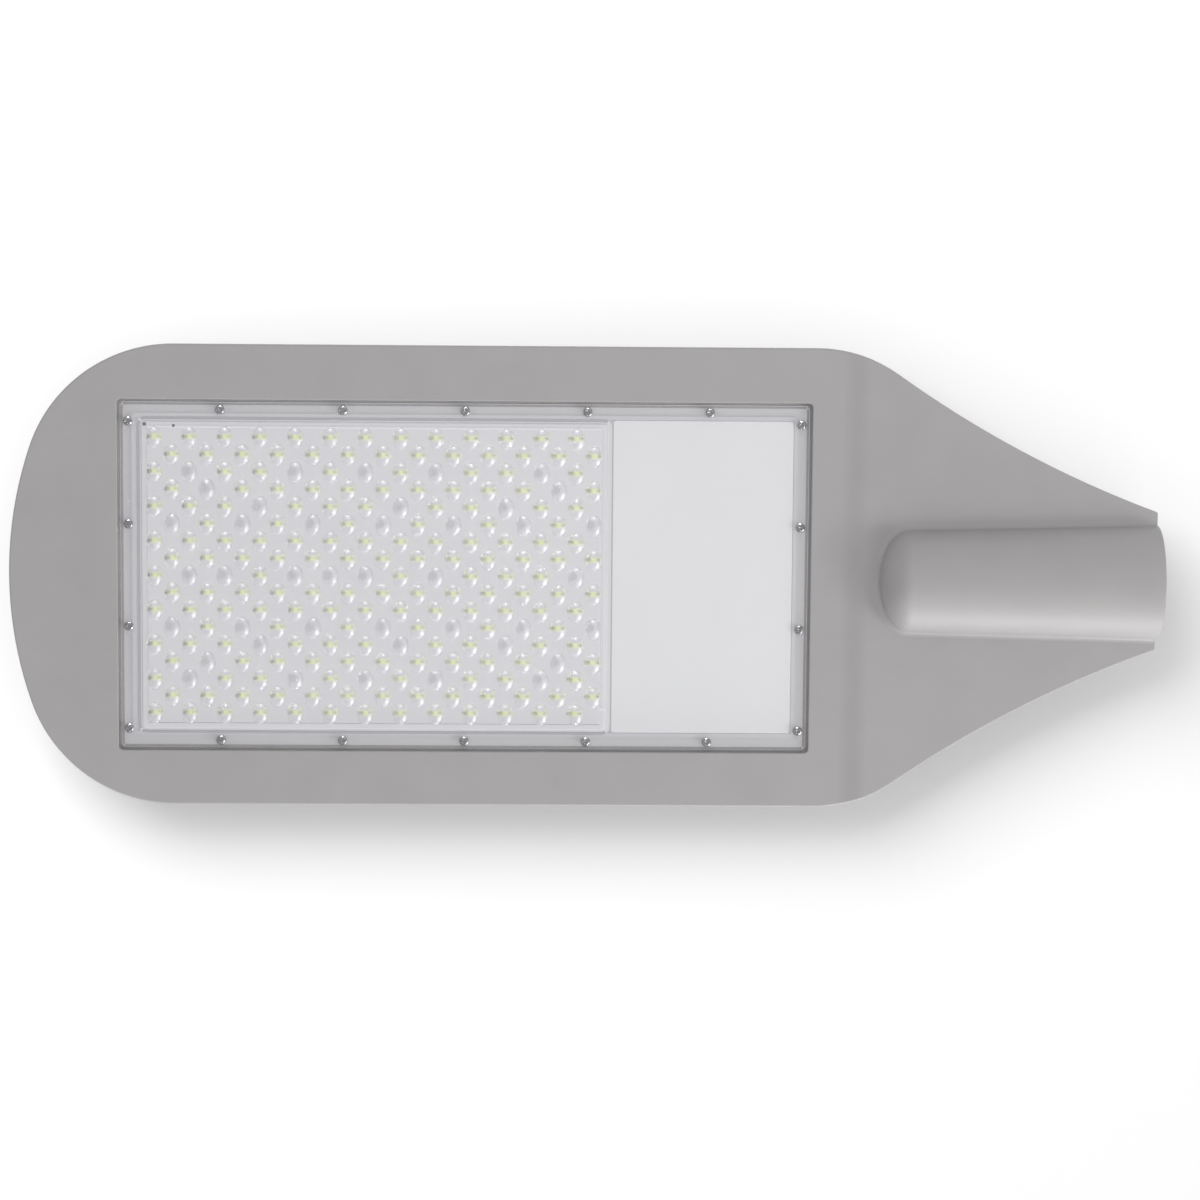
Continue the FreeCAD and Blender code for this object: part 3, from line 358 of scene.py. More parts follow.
def copies_tree():
    """Geometry Nodes tree that sets a copy of a shape on every given place."""
    name = "copies_on_places"
    if name in bpy.data.node_groups:
        return bpy.data.node_groups[name]
    tree = bpy.data.node_groups.new(name, "GeometryNodeTree")
    tree.is_modifier = True
    for label, kind in (("Places", "Geometry"), ("Shape", "Object"), ("Width", "Float"), ("Length", "Float"),
                        ("Height", "Float"), ("Material", "Material")):
        tree.interface.new_socket(label, in_out="INPUT", socket_type="NodeSocket" + kind)
    tree.interface.new_socket("Copies", in_out="OUTPUT", socket_type="NodeSocketGeometry")
    given = add_node(tree, "NodeGroupInput").outputs
    shape = add_node(tree, "GeometryNodeObjectInfo", {"Object": given["Shape"]})
    scale = add_node(tree, "ShaderNodeCombineXYZ", {
        "X": given["Width"], "Y": given["Length"], "Z": given["Height"]})
    placed = add_node(tree, "GeometryNodeInstanceOnPoints", {
        "Points": given["Places"], "Instance": shape.outputs["Geometry"], "Scale": scale.outputs[0]})
    real = add_node(tree, "GeometryNodeRealizeInstances", {"Geometry": placed.outputs[0]})
    painted = add_node(tree, "GeometryNodeSetMaterial", {
        "Geometry": real.outputs[0], "Material": given["Material"]})
    add_node(tree, "NodeGroupOutput", {"Copies": painted.outputs[0]})
    return tree


def copies(name, shape_mesh, places, extent, material):
    """Plain mesh with a copy of a shape, scaled to an extent in metres, on every place in millimetres."""
    shape_mesh.materials.append(material)
    shape = bpy.data.objects.new(name + "_shape", shape_mesh)
    cloud = bpy.data.meshes.new(name)
    cloud.from_pydata([Vector(place) * MM for place in places], [], [])
    carrier = bpy.data.objects.new(name, cloud)
    nodes = carrier.modifiers.new("copies", "NODES")
    nodes.node_group = copies_tree()
    values = {"Shape": shape, "Width": extent[0], "Length": extent[1], "Height": extent[2], "Material": material}
    for item in nodes.node_group.interface.items_tree:
        if item.in_out == "INPUT" and item.name in values:
            nodes[item.identifier] = values[item.name]
    bpy.context.scene.collection.objects.link(carrier)
    mesh = evaluated_mesh(carrier)
    bpy.data.objects.remove(carrier)
    bpy.data.objects.remove(shape)
    if not mesh.polygons:
        raise RuntimeError(f"{name}: no copies were made")
    return mesh


def half_outline():
    """One half of the plan outline, from the toe to the mouth."""
    nose_x = TOE_X + NOSE_RADIUS
    reach, rise = NOSE_RADIUS - CORNER_RADIUS, HALF_WIDTH - CORNER_RADIUS
    corner_x = nose_x - math.sqrt(reach ** 2 - rise ** 2)
    turn = math.atan2(rise, corner_x - nose_x)
    points = [(nose_x + NOSE_RADIUS * math.cos(angle), NOSE_RADIUS * math.sin(angle))
              for angle in evenly(math.pi, turn, NOSE_PARTS)[:-1]]
    points += [(corner_x + CORNER_RADIUS * math.cos(angle), rise + CORNER_RADIUS * math.sin(angle))
               for angle in evenly(turn, QUARTER, CORNER_PARTS)]
    points += [(x, HALF_WIDTH) for x in evenly(corner_x, SHOULDER_X, SIDE_PARTS)[1:]]
    # Stations along the shoulder, close together where the underside steps down to the neck
    before = [SHOULDER_X + 5.0 * k for k in range(1, 4)]
    after = [-176.0, -170.0, SHOULDER_X + SHOULDER_RADIUS * math.sin(SHOULDER_ANGLE)]
    for x in before + evenly(STEP_FROM, STEP_TO, STEP_PARTS) + after:
        drop = SHOULDER_RADIUS ** 2 - (x - SHOULDER_X) ** 2
        points.append((x, HALF_WIDTH - SHOULDER_RADIUS + math.sqrt(drop)))
    # Hollow flank: an arc that leaves the shoulder without a corner and ends at the mouth
    normal = Vector((math.sin(SHOULDER_ANGLE), math.cos(SHOULDER_ANGLE)))
    start = Vector(points[-1])
    chord = Vector((0.0, MOUTH_HALF)) - start
    radius = chord.length_squared / (2 * chord.dot(normal))
    centre = start + normal * radius
    for x in evenly(start.x, PLATE_END_X, FLANK_PARTS)[1:]:
        points.append((x, centre.y - math.sqrt(radius ** 2 - (x - centre.x) ** 2)))
    return points


def underside_z(x):
    """Height of the flat underside: the neck hangs a little lower than the rim, past a soft step."""
    share = min(max((x - STEP_FROM) / (STEP_TO - STEP_FROM), 0.0), 1.0)
    return RIM_Z + (NECK_Z - RIM_Z) * (1 - math.cos(math.pi * share)) / 2


def plate_side(bm, chain, edge_round):
    """Rows of vertices up the outer side of the plate: a round below and a bevel above."""
    inward = []
    for k in range(len(chain)):
        x0, y0 = chain[max(k - 1, 0)]
        x1, y1 = chain[min(k + 1, len(chain) - 1)]
        inward.append(Vector((y1 - y0, x0 - x1)).normalized())
    inward[0], inward[-1] = Vector((0.0, 1.0)), Vector((0.0, -1.0))
    below = [underside_z(x) for x, _ in chain]
    above = [PLATE_TOP_Z] * len(chain)
    profile = [(below, edge_round * (1 - math.sin(a)), edge_round * (1 - math.cos(a)))
               for a in evenly(0.0, QUARTER, EDGE_PARTS)]
    profile += [(above, inset, rise) for inset, rise in TOP_BEVEL]
    rows = [row(bm, [(x + n.x * inset, y + n.y * inset, z + rise) for (x, y), n, z in zip(chain, inward, level)])
            for level, inset, rise in profile]
    for first, second in zip(rows, rows[1:]):
        bridge(bm, first, second, closed=False)
    return rows


def light_pocket(bm, recess_round):
    """Walls of the light opening and the driver bay, and the ring of vertices at their rim."""
    pocket = [row(bm, ring_of(RECESS, RECESS_CORNER, RIM_Z + recess_round * (1 - math.sin(a)),
                              -recess_round * (1 - math.cos(a))))
              for a in reversed(evenly(0.0, QUARTER, EDGE_PARTS))]
    for box, corner, z in ((RECESS, RECESS_CORNER, FLOOR_Z), (BAY, BAY_CORNER, FLOOR_Z),
                           (BAY, BAY_CORNER, BAY_TOP_Z)):
        pocket.append(row(bm, ring_of(box, corner, z)))
    for first, second in zip(pocket, pocket[1:]):
        bridge(bm, first, second)
    bm.faces.new(pocket[-1])
    return pocket[0]


def cast_plate(bm, edge_round, recess_round):
    """Rim and neck plate with its light opening, driver bay and the notch for the socket."""
    half = half_outline()
    chain = [(x, -y) for x, y in reversed(half[1:])] + half
    count = len(chain)
    rows = plate_side(bm, chain, edge_round)
    low, top = rows[0], rows[-1]
    step_end, step_start = (next(k for k, (x, _) in enumerate(chain) if x <= edge + TINY)
                            for edge in (STEP_TO, STEP_FROM))
    for k in range(step_end, step_start):
        bm.faces.new((low[k], low[k + 1], low[count - 2 - k], low[count - 1 - k]))
    notch_low, notch_top = (
        row(bm, [(PLATE_END_X, wide, z), (NOTCH_END_X, narrow, z), (NOTCH_END_X, -narrow, z),
                 (PLATE_END_X, -wide, z)])
        for (wide, narrow), z in ((NOTCH_LOW, NECK_Z), (NOTCH_TOP, PLATE_TOP_Z)))
    bridge(bm, notch_low, notch_top, closed=False)
    bm.faces.new(low[:step_end + 1] + low[count - 1 - step_end:] + notch_low)
    bm.faces.new(top + notch_top)
    bm.faces.new([level[0] for level in rows] + [notch_top[3], notch_low[3]])
    bm.faces.new([level[-1] for level in rows] + [notch_top[0], notch_low[0]])
    opening = light_pocket(bm, recess_round)
    rim = low[step_start:count - step_start]
    edges = [bm.edges.get(pair) for ring in (rim, opening) for pair in zip(ring, ring[1:] + ring[:1])]
    bmesh.ops.triangle_fill(bm, use_beauty=True, edges=edges)


def tube_profile():
    """Outside of the socket tube from the mouth inwards: x, radius, and normal along x and the radius."""
    length = -TUBE_END_X - TUBE_ROUND
    points = [(x, radius, 0.0, 1.0) for x, radius in zip(
        evenly(0.0, -length, TUBE_PARTS), evenly(TUBE_MOUTH_RADIUS, TUBE_END_RADIUS, TUBE_PARTS))][:-1]
    for angle in evenly(0.0, TUBE_ROUND_ANGLE, TUBE_ROUND_PARTS):
        sine, cosine = math.sin(angle), math.cos(angle)
        normal = Vector((-sine / TUBE_ROUND, cosine / TUBE_END_RADIUS)).normalized()
        points.append((-length - TUBE_ROUND * sine, TUBE_END_RADIUS * cosine, normal.x, normal.y))
    return points


def socket_tube(bm):
    """Tapered tube with a rounded inner end and the bore for the pole."""
    turns = [2 * math.pi * k / TUBE_SIDES for k in range(TUBE_SIDES)]
    outside = [(x, radius) for x, radius, _, _ in reversed(tube_profile())][:-1]
    lip = [(-0.9, TUBE_MOUTH_RADIUS - 0.02), (-0.25, TUBE_MOUTH_RADIUS - 0.25), (0.0, TUBE_MOUTH_RADIUS - 0.9),
           (0.0, BORE_RADIUS + 1.0), (-0.3, BORE_RADIUS + 0.3), (-1.0, BORE_RADIUS), (-BORE_DEPTH, BORE_RADIUS)]
    stack(bm, [[(x, radius * math.sin(turn), radius * math.cos(turn)) for turn in turns]
               for x, radius in outside + lip])


def socket_fillet(bm, radius):
    """Fillet along the foot of the tube, swept round its rounded end."""
    feet = [(min(x, PLATE_END_X - 0.4), r, nx, nr) for x, r, nx, nr in tube_profile()]
    path = feet + [(x, -r, nx, -nr) for x, r, nx, nr in reversed(feet)]
    centre_z, back_z = NECK_Z - radius, NECK_Z + FILLET_SUNK
    rings = []
    for x, y, nx, ny in path:
        curve = abs(y) / max(abs(ny), 1e-3)
        reach = math.sqrt((curve + radius) ** 2 - centre_z ** 2) - curve
        end = QUARTER - math.asin(-centre_z / (curve + radius))
        section = [(reach - radius * math.sin(angle), centre_z + radius * math.cos(angle))
                   for angle in evenly(0.0, end, FILLET_PARTS)]
        section += [(-FILLET_SUNK, back_z), (reach, back_z)]
        rings.append([(x + nx * out, y + ny * out, z) for out, z in section])
    stack(bm, rings)


def back_of_casting(bm):
    """Plateau, driver hump, fairing, cable spine and bolt pad on the back."""
    block(bm, PLATEAU, PLATEAU_CORNER, ((FOOT_Z, 0.0), (16.8, 2.2), (17.7, 3.0), (PLATEAU_TOP_Z, 4.0)))
    block(bm, HUMP, HUMP_CORNER, ((FOOT_Z, 0.0), (43.5, 0.0), (46.0, 0.8), (47.8, 2.2), (51.8, 6.4),
                                  (53.3, 8.4), (54.0, 11.0)), 8)
    fairing = []
    for x, half, top in FAIRING_SECTIONS:
        arc = [(half - FAIRING_ROUND + FAIRING_ROUND * math.cos(a),
                top - FAIRING_ROUND + FAIRING_ROUND * math.sin(a)) for a in evenly(0.0, QUARTER, FAIRING_PARTS)]
        section = [(half, FOOT_Z)] + arc + [(-y, z) for y, z in reversed(arc)] + [(-half, FOOT_Z)]
        fairing.append([(x, y, z) for y, z in section])
    stack(bm, fairing)
    turns = [2 * math.pi * k / SPINE_SIDES for k in range(SPINE_SIDES)]
    stack(bm, [[(x, SPINE_RADIUS * math.cos(turn), SPINE_Z + SPINE_RADIUS * math.sin(turn)) for turn in turns]
               for x in SPINE_ENDS])
    block(bm, BOLT_PAD, BOLT_PAD_CORNER, ((BOLT_PAD_FOOT_Z, 0.0), (PAD_TOP_Z - 1.2, 0.0),
                                          (PAD_TOP_Z - 0.35, 0.35), (PAD_TOP_Z, 1.2)))


def nose_x_at(y):
    """X of the rounded toe at a distance y from the middle."""
    half = half_outline()
    for (x0, y0), (x1, y1) in zip(half, half[1:]):
        if y0 <= y <= y1:
            return x0 + (x1 - x0) * (y - y0) / (y1 - y0)
    raise ValueError(f"no toe at {y}")


def cooling_fins(bm):
    """Upright fins that ramp up from the toe in an arc and run back into the driver hump."""
    for k in range(FIN_COUNT):
        y = (k - (FIN_COUNT - 1) / 2) * FIN_PITCH
        top = FIN_TOP_Z - FIN_FALL * (2 * y / (FIN_PITCH * (FIN_COUNT - 1))) ** 2
        start = nose_x_at(abs(y) + FIN_THICKNESS) + FIN_SETBACK
        base = FOOT_Z if start < PLATEAU[0] else PLATEAU_TOP_Z - SUNK
        rise = top - base
        radius = (FIN_RAMP ** 2 + rise ** 2) / (2 * rise)
        lean = math.asin(FIN_RAMP / radius)
        angles = [lean * (1 - step / FIN_RAMP_PARTS) for step in range(FIN_RAMP_PARTS + 1)]
        upper = [(start + FIN_RAMP - radius * math.sin(a), top - radius * (1 - math.cos(a))) for a in angles]
        upper.append((FIN_END_X, top))
        stack(bm, [[(x, y + side, z - drop) for x, z in upper]
                   + [(x, y + side, base - SUNK) for x in (FIN_END_X, start)] for side, drop in FIN_EDGE])


def lens_places():
    """Row from the middle, column, and plan position of every lens in the staggered array."""
    middle = LENS_ROWS // 2
    for line in range(LENS_ROWS):
        for column in range(LENS_COLUMNS):
            x = LENS_FIRST_X + (column + (0.5 if line % 2 else 0.0)) * LENS_PITCH_X
            yield abs(line - middle), column, x, (line - middle) * LENS_PITCH_Y


def screw_places():
    """Plan positions of the cover screws: five along each long side, four along each end."""
    along = [(SCREW_MIDDLE_X + SCREW_PITCH_X * k, side * SCREW_ROW_Y) for k in range(-2, 3) for side in (-1, 1)]
    across = [(SCREW_MIDDLE_X + side * SCREW_COLUMN_X, SCREW_PITCH_Y * k)
              for k in (-1.5, -0.5, 0.5, 1.5) for side in (-1, 1)]
    return along + across


def cover_zone(centre):
    """Zone of the clear sheet that a face belongs to, by its centre in metres."""
    x, y = centre[0] / MM, centre[1] / MM
    inside, within = (min(x - x0, x1 - x, y - y0, y1 - y) for x0, x1, y0, y1 in (PANEL, COVER))
    on_front = centre[2] < (BORDER_Z + 0.1) * MM
    if within < EDGE_WIDTH:
        return "edge"
    if within < LIP_WIDTH and on_front:
        return "lip"
    if inside > WINDOW_INSET:
        return "window"
    if inside > -WALL_FOOT:
        return "wall"
    if inside > -RIB_WIDTH and on_front:
        return "rib" if x < PANEL[1] else "wall"
    return "border"


def cover_sheet(pale):
    """Clear sheet with its raised, hollow panel, the rib round it, the flat border and the lip.

    The rib, the lip and the outer edge are coloured with painted shade, and the walls with painted light.
    """
    bm = bmesh.new()
    stack(bm, [ring_of(PANEL, PANEL_CORNER, z, inset) for z, inset in (
        (PANEL_Z, WINDOW_INSET), (PANEL_Z, 1.6), (PANEL_Z + 0.25, 1.0), (BORDER_Z - 0.2, 0.2),
        (BORDER_Z, -0.3), (BORDER_Z, -RIB_WIDTH))]
          + [ring_of(COVER, COVER_CORNER, z, inset) for z, inset in (
              (BORDER_Z, LIP_WIDTH), (BORDER_Z, 0.7), (BORDER_Z + 0.2, 0.2), (BORDER_Z + 0.7, 0.0),
              (COVER_BACK_Z, 0.0))]
          + [ring_of(PANEL, COVER_CORNER, z, PANEL_WALL) for z in (COVER_BACK_Z, HOLLOW_Z)])
    sheet = as_mesh(bm, "cover_sheet", 10.0)
    # Rib, lip and edge: dark grey veils of painted shade, beside the window and round the cover's rim. Wall: a
    # thick pale veil of painted light.
    looks_with_painted_light = {"window": (pale, "#E2E2E8", 0.08), "border": (pale, "#E2E2E8", 0.23),
             "wall": (pale, "#E2E2E8", 0.55), "rib": ("#ACACB1", "#A5A5AB", 0.6),
             "edge": ("#5A5A5E", "#525256", 0.85), "lip": ("#5A5A5E", "#525256", 0.3)}
    for zone, look in looks_with_painted_light.items():
        sheet.materials.append(clear_sheet(zone, *look))
    zones = list(looks_with_painted_light)
    for face in sheet.polygons:
        face.material_index = zones.index(cover_zone(face.center))
    return sheet


def lens_field(sizes):
    """The oval lenses: hollow domes that stand on the panel."""
    bm = bmesh.new()
    turned(bm, [(radius * METRE, -height * METRE) for radius, height in (
        (0.12, 0.38), (0.28, 0.28), (0.4, 0.0), (0.5, 0.0), (0.475, 0.42), (0.34, 0.8), (0.13, 0.98))], LENS_SIDES)
    dome = as_mesh(bm, "lens_dome", 70.0)
    places = [(x, y, PANEL_Z - LENS_SUNK) for _, _, x, y in lens_places()]
    extent = (sizes.lens_width, sizes.lens_length, sizes.lens_height)
    return copies("lenses", dome, places, extent, clear_lens())


def moulding_gates():
    """Cut gates of the moulding in one corner of the panel."""
    bm = bmesh.new()
    for x, y, radius in GATES:
        turned(bm, ((radius, PANEL_Z + 1.0), (radius, PANEL_Z - 0.05)), 12, (x, y))
    gates = as_mesh(bm, "moulding_gates")
    # Cut plastic: dull, darker spots.
    gates.materials.append(finish("cut_polycarbonate_gate", "#77757A", "#6B696E", 1.5, 0.4, (0.5, 0.6), 0.01))
    return gates


def unit_block(name, corner, levels):
    """Square block one metre wide, to be scaled, through levels given as (height, inset) in metres."""
    bm = bmesh.new()
    half = 0.5 * METRE
    block(bm, (-half, half, -half, half), corner * METRE, [(z * METRE, inset * METRE) for z, inset in levels], 2)
    return as_mesh(bm, name)


def cover_screw():
    """One pan-head screw with a cross recess, its seat at z = 0."""
    bm = bmesh.new()
    turned(bm, ((0.6, 9.0), (1.5, 8.2), (1.5, 0.0), (2.9, 0.0), (2.9, -0.7), (2.72, -1.15), (2.2, -1.55),
                (1.5, -1.75)), 20)
    screw = bpy.data.objects.new("cover_screw", as_mesh(bm, "cover_screw"))
    bm = bmesh.new()
    arm, half = RECESS_ARM, RECESS_HALF
    plus = [(arm, -half), (arm, half), (half, half), (half, arm), (-half, arm), (-half, half), (-arm, half),
            (-arm, -half), (-half, -half), (-half, -arm), (half, -arm), (half, -half)]
    stack(bm, [[(x, y, z) for x, y in plus] for z in (-3.0, -0.7)])
    recess = bpy.data.objects.new("cross_recess", as_mesh(bm, "cross_recess"))
    cut = screw.modifiers.new("recess", "BOOLEAN")
    cut.object = recess
    cut.solver = "EXACT"
    for obj in (screw, recess):
        bpy.context.scene.collection.objects.link(obj)
    mesh = evaluated_mesh(screw)
    for obj in (screw, recess):
        bpy.data.objects.remove(obj)
    return mesh


class STREETLIGHT_OT_casting(bpy.types.Operator):
    """Build the coated casting: rim, neck, socket, driver hump and fins"""
    bl_idname = "streetlight.casting"
    bl_label = "Casting"

    def execute(self, context):
        sizes = context.scene.street_light_sizes
        bm = bmesh.new()
        cast_plate(bm, sizes.edge_round / MM, sizes.recess_round / MM)
        socket_tube(bm)
        socket_fillet(bm, sizes.socket_fillet / MM)
        back_of_casting(bm)
        cooling_fins(bm)
        mesh = as_mesh(bm, "casting")
        mesh.materials.append(powder_coat(context.scene.street_light_colours))
        shade_evenly(add_piece("casting", mesh, ["housing"]))
        return {"FINISHED"}


class STREETLIGHT_OT_cover(bpy.types.Operator):
    """Build the clear moulded cover with its oval lenses"""
    bl_idname = "streetlight.cover"
    bl_label = "Lens cover"

    def execute(self, context):
        sheet = cover_sheet(context.scene.street_light_colours.cover)
        lenses = lens_field(context.scene.street_light_sizes)
        gates = moulding_gates()
        for name, meshes in (("lens_cover_sheet", [sheet, gates]), ("lens_cover_lenses", [lenses])):
            piece = add_piece(name, joined(name, meshes), ["lens_cover"])
            piece.visible_shadow = piece.visible_diffuse = False
        return {"FINISHED"}


class STREETLIGHT_OT_leds(bpy.types.Operator):
    """Build the LED packages: white bodies with a yellow phosphor window"""
    bl_idname = "streetlight.leds"
    bl_label = "LEDs"

    def execute(self, context):
        sizes = context.scene.street_light_sizes
        phosphor = context.scene.street_light_colours.phosphor
        lit, bare = [], []
        for line, column, x, y in lens_places():
            (bare if column in EMPTY_COLUMNS.get(line, ()) else lit).append((x, y, LED_BACK_Z))
        # White moulded package: matt and slightly warm. Phosphor: yellow silicone, a little glossy.
        body_paint = finish("led_package_white", "#E9E8E2", "#DEDDD6", 2, 0.5, (0.4, 0.5), 0.002)
        window_paint = finish("led_phosphor_silicone", phosphor, "#D0D58C", 1.5, 0.4, (0.25, 0.4), 0.004)
        extent = (sizes.chip_side, sizes.chip_side, sizes.chip_height)
        body = unit_block("led_body", 0.06, ((0.0, 0.0), (-0.85, 0.0), (-1.0, 0.03)))
        bodies = copies("led_bodies", body, lit, extent, body_paint)
        window = unit_block("led_window", 0.15, ((-0.9, 0.05), (-1.02, 0.05), (-1.05, 0.08)))
        windows = copies("led_windows", window, lit, extent, window_paint)
        bm = bmesh.new()
        for x, radius in ((-3.8, 1.45), (3.1, 0.95)):
            turned(bm, ((radius, 0.0), (radius, -0.5)), 8, (x, 0.0))
        # Dark tinned pads: dull grey solder beside each package.
        pad_paint = finish("tinned_solder_pad", "#2B2926", "#23211F", 1.5, 0.4, (0.35, 0.5), 0.01)
        pads = copies("led_pads", as_mesh(bm, "led_pad"), lit, TRUE_SIZE, pad_paint)
        bm = bmesh.new()
        turned(bm, ((2.4, 0.0), (2.4, -0.3)), 14, (-1.7, -0.2))
        # Bare lands where no package sits: dull tin.
        land_paint = finish("bare_tinned_land", "#B4B3B5", "#ABAAAC", 1.5, 0.4, (0.4, 0.55), 0.01)
        lands = copies("bare_lands", as_mesh(bm, "bare_land"), bare, TRUE_SIZE, land_paint)
        add_piece("led_chips", joined("led_chips", [bodies, windows, pads, lands]), ["led_packages"])
        return {"FINISHED"}


class STREETLIGHT_OT_screws(bpy.types.Operator):
    """Build the cross-recess screws of the cover"""
    bl_idname = "streetlight.screws"
    bl_label = "Cover screws"

    def execute(self, context):
        places = [(x, y, BORDER_Z) for x, y in screw_places()]
        screws = copies("cover_screws", cover_screw(), places, TRUE_SIZE, steel())
        add_piece("cover_screw_set", screws, ["cover_screws"])
        return {"FINISHED"}


class STREETLIGHT_OT_plate(bpy.types.Operator):
    """Build the white painted plate over the driver bay"""
    bl_idname = "streetlight.plate"
    bl_label = "Driver plate"

    def execute(self, context):
        bm = bmesh.new()
        block(bm, PLATE, PLATE_CORNER, ((11.0, 0.3), (10.8, 0.0), (9.3, 0.0), (9.08, 0.1), (9.0, 0.35)))
        mesh = as_mesh(bm, "driver_plate", 40.0)
        # White stove paint on sheet metal: even, nearly matt, with a trace of orange peel.
        mesh.materials.append(finish("white_painted_sheet", context.scene.street_light_colours.plate, "#C7C7C7",
                                     45, 2.5, (0.45, 0.55), 0.01))
        shade_evenly(add_piece("driver_plate_sheet", mesh, ["driver_plate"]))
        return {"FINISHED"}


class STREETLIGHT_OT_clamp(bpy.types.Operator):
    """Build the two clamp bolts with their lock nuts on the socket"""
    bl_idname = "streetlight.clamp"
    bl_label = "Clamp bolts"

    def execute(self, context):
        corner = HEX_ACROSS_FLATS / math.sqrt(3)

        def hexagon(levels):
            turned(bm, [(corner - cut, z) for z, cut in levels], 6)
        places = [(x, 0.0, PAD_TOP_Z) for x in BOLT_X]
        bm = bmesh.new()
        turned(bm, ((3.0, -10.7), (4.0, -9.7), (4.0, 9.6)), 24)
        hexagon(((9.5, 0.6), (10.0, 0.0), (14.2, 0.0), (14.8, 0.5), (15.0, 1.1)))
        bolts = copies("clamp_bolts", as_mesh(bm, "clamp_bolt"), places, TRUE_SIZE, steel())
        add_piece("clamp_bolt_pair", bolts, ["clamp_bolts"])
        bm = bmesh.new()
        hexagon(((0.0, 0.9), (0.5, 0.0), (6.0, 0.0), (6.5, 0.9)))
        nuts = copies("clamp_nuts", as_mesh(bm, "clamp_nut"), places, TRUE_SIZE, steel())
        add_piece("clamp_nut_pair", nuts, ["clamp_locknuts"])
        return {"FINISHED"}


class STREETLIGHT_OT_gear(bpy.types.Operator):
    """Give the board, seals and the gear in the driver bay their real finishes"""
    bl_idname = "streetlight.gear"
    bl_label = "Inner gear"

    def execute(self, context):
        mask = context.scene.street_light_colours.board
        # White solder mask: even and slightly glossy over the board.
        board = finish("white_solder_mask", mask, "#C4C4C8", 25, 3, (0.3, 0.42), 0.006)
        # Silicone rubber: matt and cloudy.
        gasket = finish("grey_silicone_rubber", "#A3A2A5", "#9B9A9E", 8, 1.2, (0.55, 0.7), 0.02)
        seal = finish("black_rubber", "#242424", "#1B1B1B", 6, 0.8, (0.6, 0.75), 0.02)
        pad = finish("thermal_silicone_pad", "#8F9AAB", "#838FA1", 6, 1.0, (0.6, 0.75), 0.02)
        # Brushed aluminium: fine lines along the case.
        case = finish("brushed_aluminium", "#A9AAAC", "#9A9B9E", 20, 1.5, (0.3, 0.45), 0.01, stretch=(1, 0.05, 1),
                      shader={"Metallic": 1.0})
        # Moulded plastics: faint cloud and an eroded skin.
        black = finish("black_polyamide", "#1F2021", "#18191A", 10, 0.8, (0.45, 0.6), 0.015)
        white = finish("white_polyamide", "#D9D8D0", "#CFCEC5", 10, 0.8, (0.4, 0.55), 0.015)
        blue = finish("blue_potted_plastic", "#2B4673", "#243C64", 10, 0.8, (0.35, 0.5), 0.015)
        brass = finish("plated_brass", "#C7A35A", "#B08D48", 4, 0.6, (0.25, 0.4), 0.008, shader={"Metallic": 1.0})
        red = finish("red_pvc_insulation", "#A3201B", "#8F1A16", 5, 0.7, (0.35, 0.5), 0.008)
        sleeve = finish("white_silicone_sleeve", "#CFCFCD", "#C6C6C4", 5, 0.7, (0.45, 0.6), 0.008)
        brown = finish("brown_pvc_insulation", "#5E3A22", "#50301B", 5, 0.7, (0.35, 0.5), 0.008)
        coats = {"led_board": board, "cover_gasket": gasket, "gland_seal": seal, "thermal_pad": pad,
                 "driver_case": case, "driver_input_cap": black, "driver_output_cap": black,
                 "driver_screws": steel(), "terminal_block": white, "surge_protector": blue, "earth_lug": brass,
                 "earth_screw": brass, "gland_body": black, "gland_nut": black, "gland_locknut": black,
                 "dc_lead": red, "mains_lead": brown}
        for node, material in coats.items():
            slots = NODES[node].data.materials
            slots.clear()
            slots.append(material)
        # The end of the LED lead, where it leaves the bay for the board, wears a white sleeve.
        lead = NODES["dc_lead"].data
        lead.materials.append(sleeve)
        for face in lead.polygons:
            face.material_index = 1 if face.center[0] < SLEEVE_FROM_X * MM else 0
        return {"FINISHED"}


def one_sided(name, colour):
    """Matt paper that shows only from the side its normal points to."""
    material, tree = empty_material(name)
    place = add_node(tree, "ShaderNodeTexCoord").outputs["Object"]
    fibre = add_node(tree, "ShaderNodeTexNoise", {"Vector": place, "Scale": 40.0})
    gloss = add_node(tree, "ShaderNodeMapRange", {"Value": fibre.outputs[0], "To Min": 0.85, "To Max": 0.95})
    paper = add_node(tree, "ShaderNodeBsdfPrincipled", {
        "Base Color": colour, "Roughness": gloss.outputs[0], "Specular IOR Level": 0.0})
    clear = add_node(tree, "ShaderNodeBsdfTransparent")
    behind = add_node(tree, "ShaderNodeNewGeometry").outputs["Backfacing"]
    mix = add_node(tree, "ShaderNodeMixShader", {0: behind, 1: paper.outputs[0], 2: clear.outputs[0]})
    add_node(tree, "ShaderNodeOutputMaterial", {"Surface": mix.outputs[0]})
    return material


def stage_sheet(name, z, facing, colour):
    """Large level sheet of paper that faces up (1) or down (-1) and throws no shadow."""
    reach = SHEET_REACH
    corners = [(-reach, -reach, z), (reach, -reach, z), (reach, reach, z), (-reach, reach, z)]
    mesh = bpy.data.meshes.new(name)
    mesh.from_pydata(corners[::facing], [], [(0, 1, 2, 3)])
    mesh.materials.append(one_sided(name + "_paper", linear(colour)))
    sheet = bpy.data.objects.new(name, mesh)
    bpy.context.scene.collection.objects.link(sheet)
    sheet.visible_shadow = False
    sheet.visible_diffuse = False
    return sheet


def softbox(name, place, side, watts, aim=LAMP_AIM):
    """Square soft lamp."""
    light = bpy.data.lights.new(name, "AREA")
    light.shape = "SQUARE"
    light.size = side
    light.energy = watts
    lamp = bpy.data.objects.new(name, light)
    lamp.location = place
    lamp.rotation_euler = (Vector(aim) - Vector(place)).to_track_quat("-Z", "Y").to_euler()
    bpy.context.scene.collection.objects.link(lamp)
    return lamp


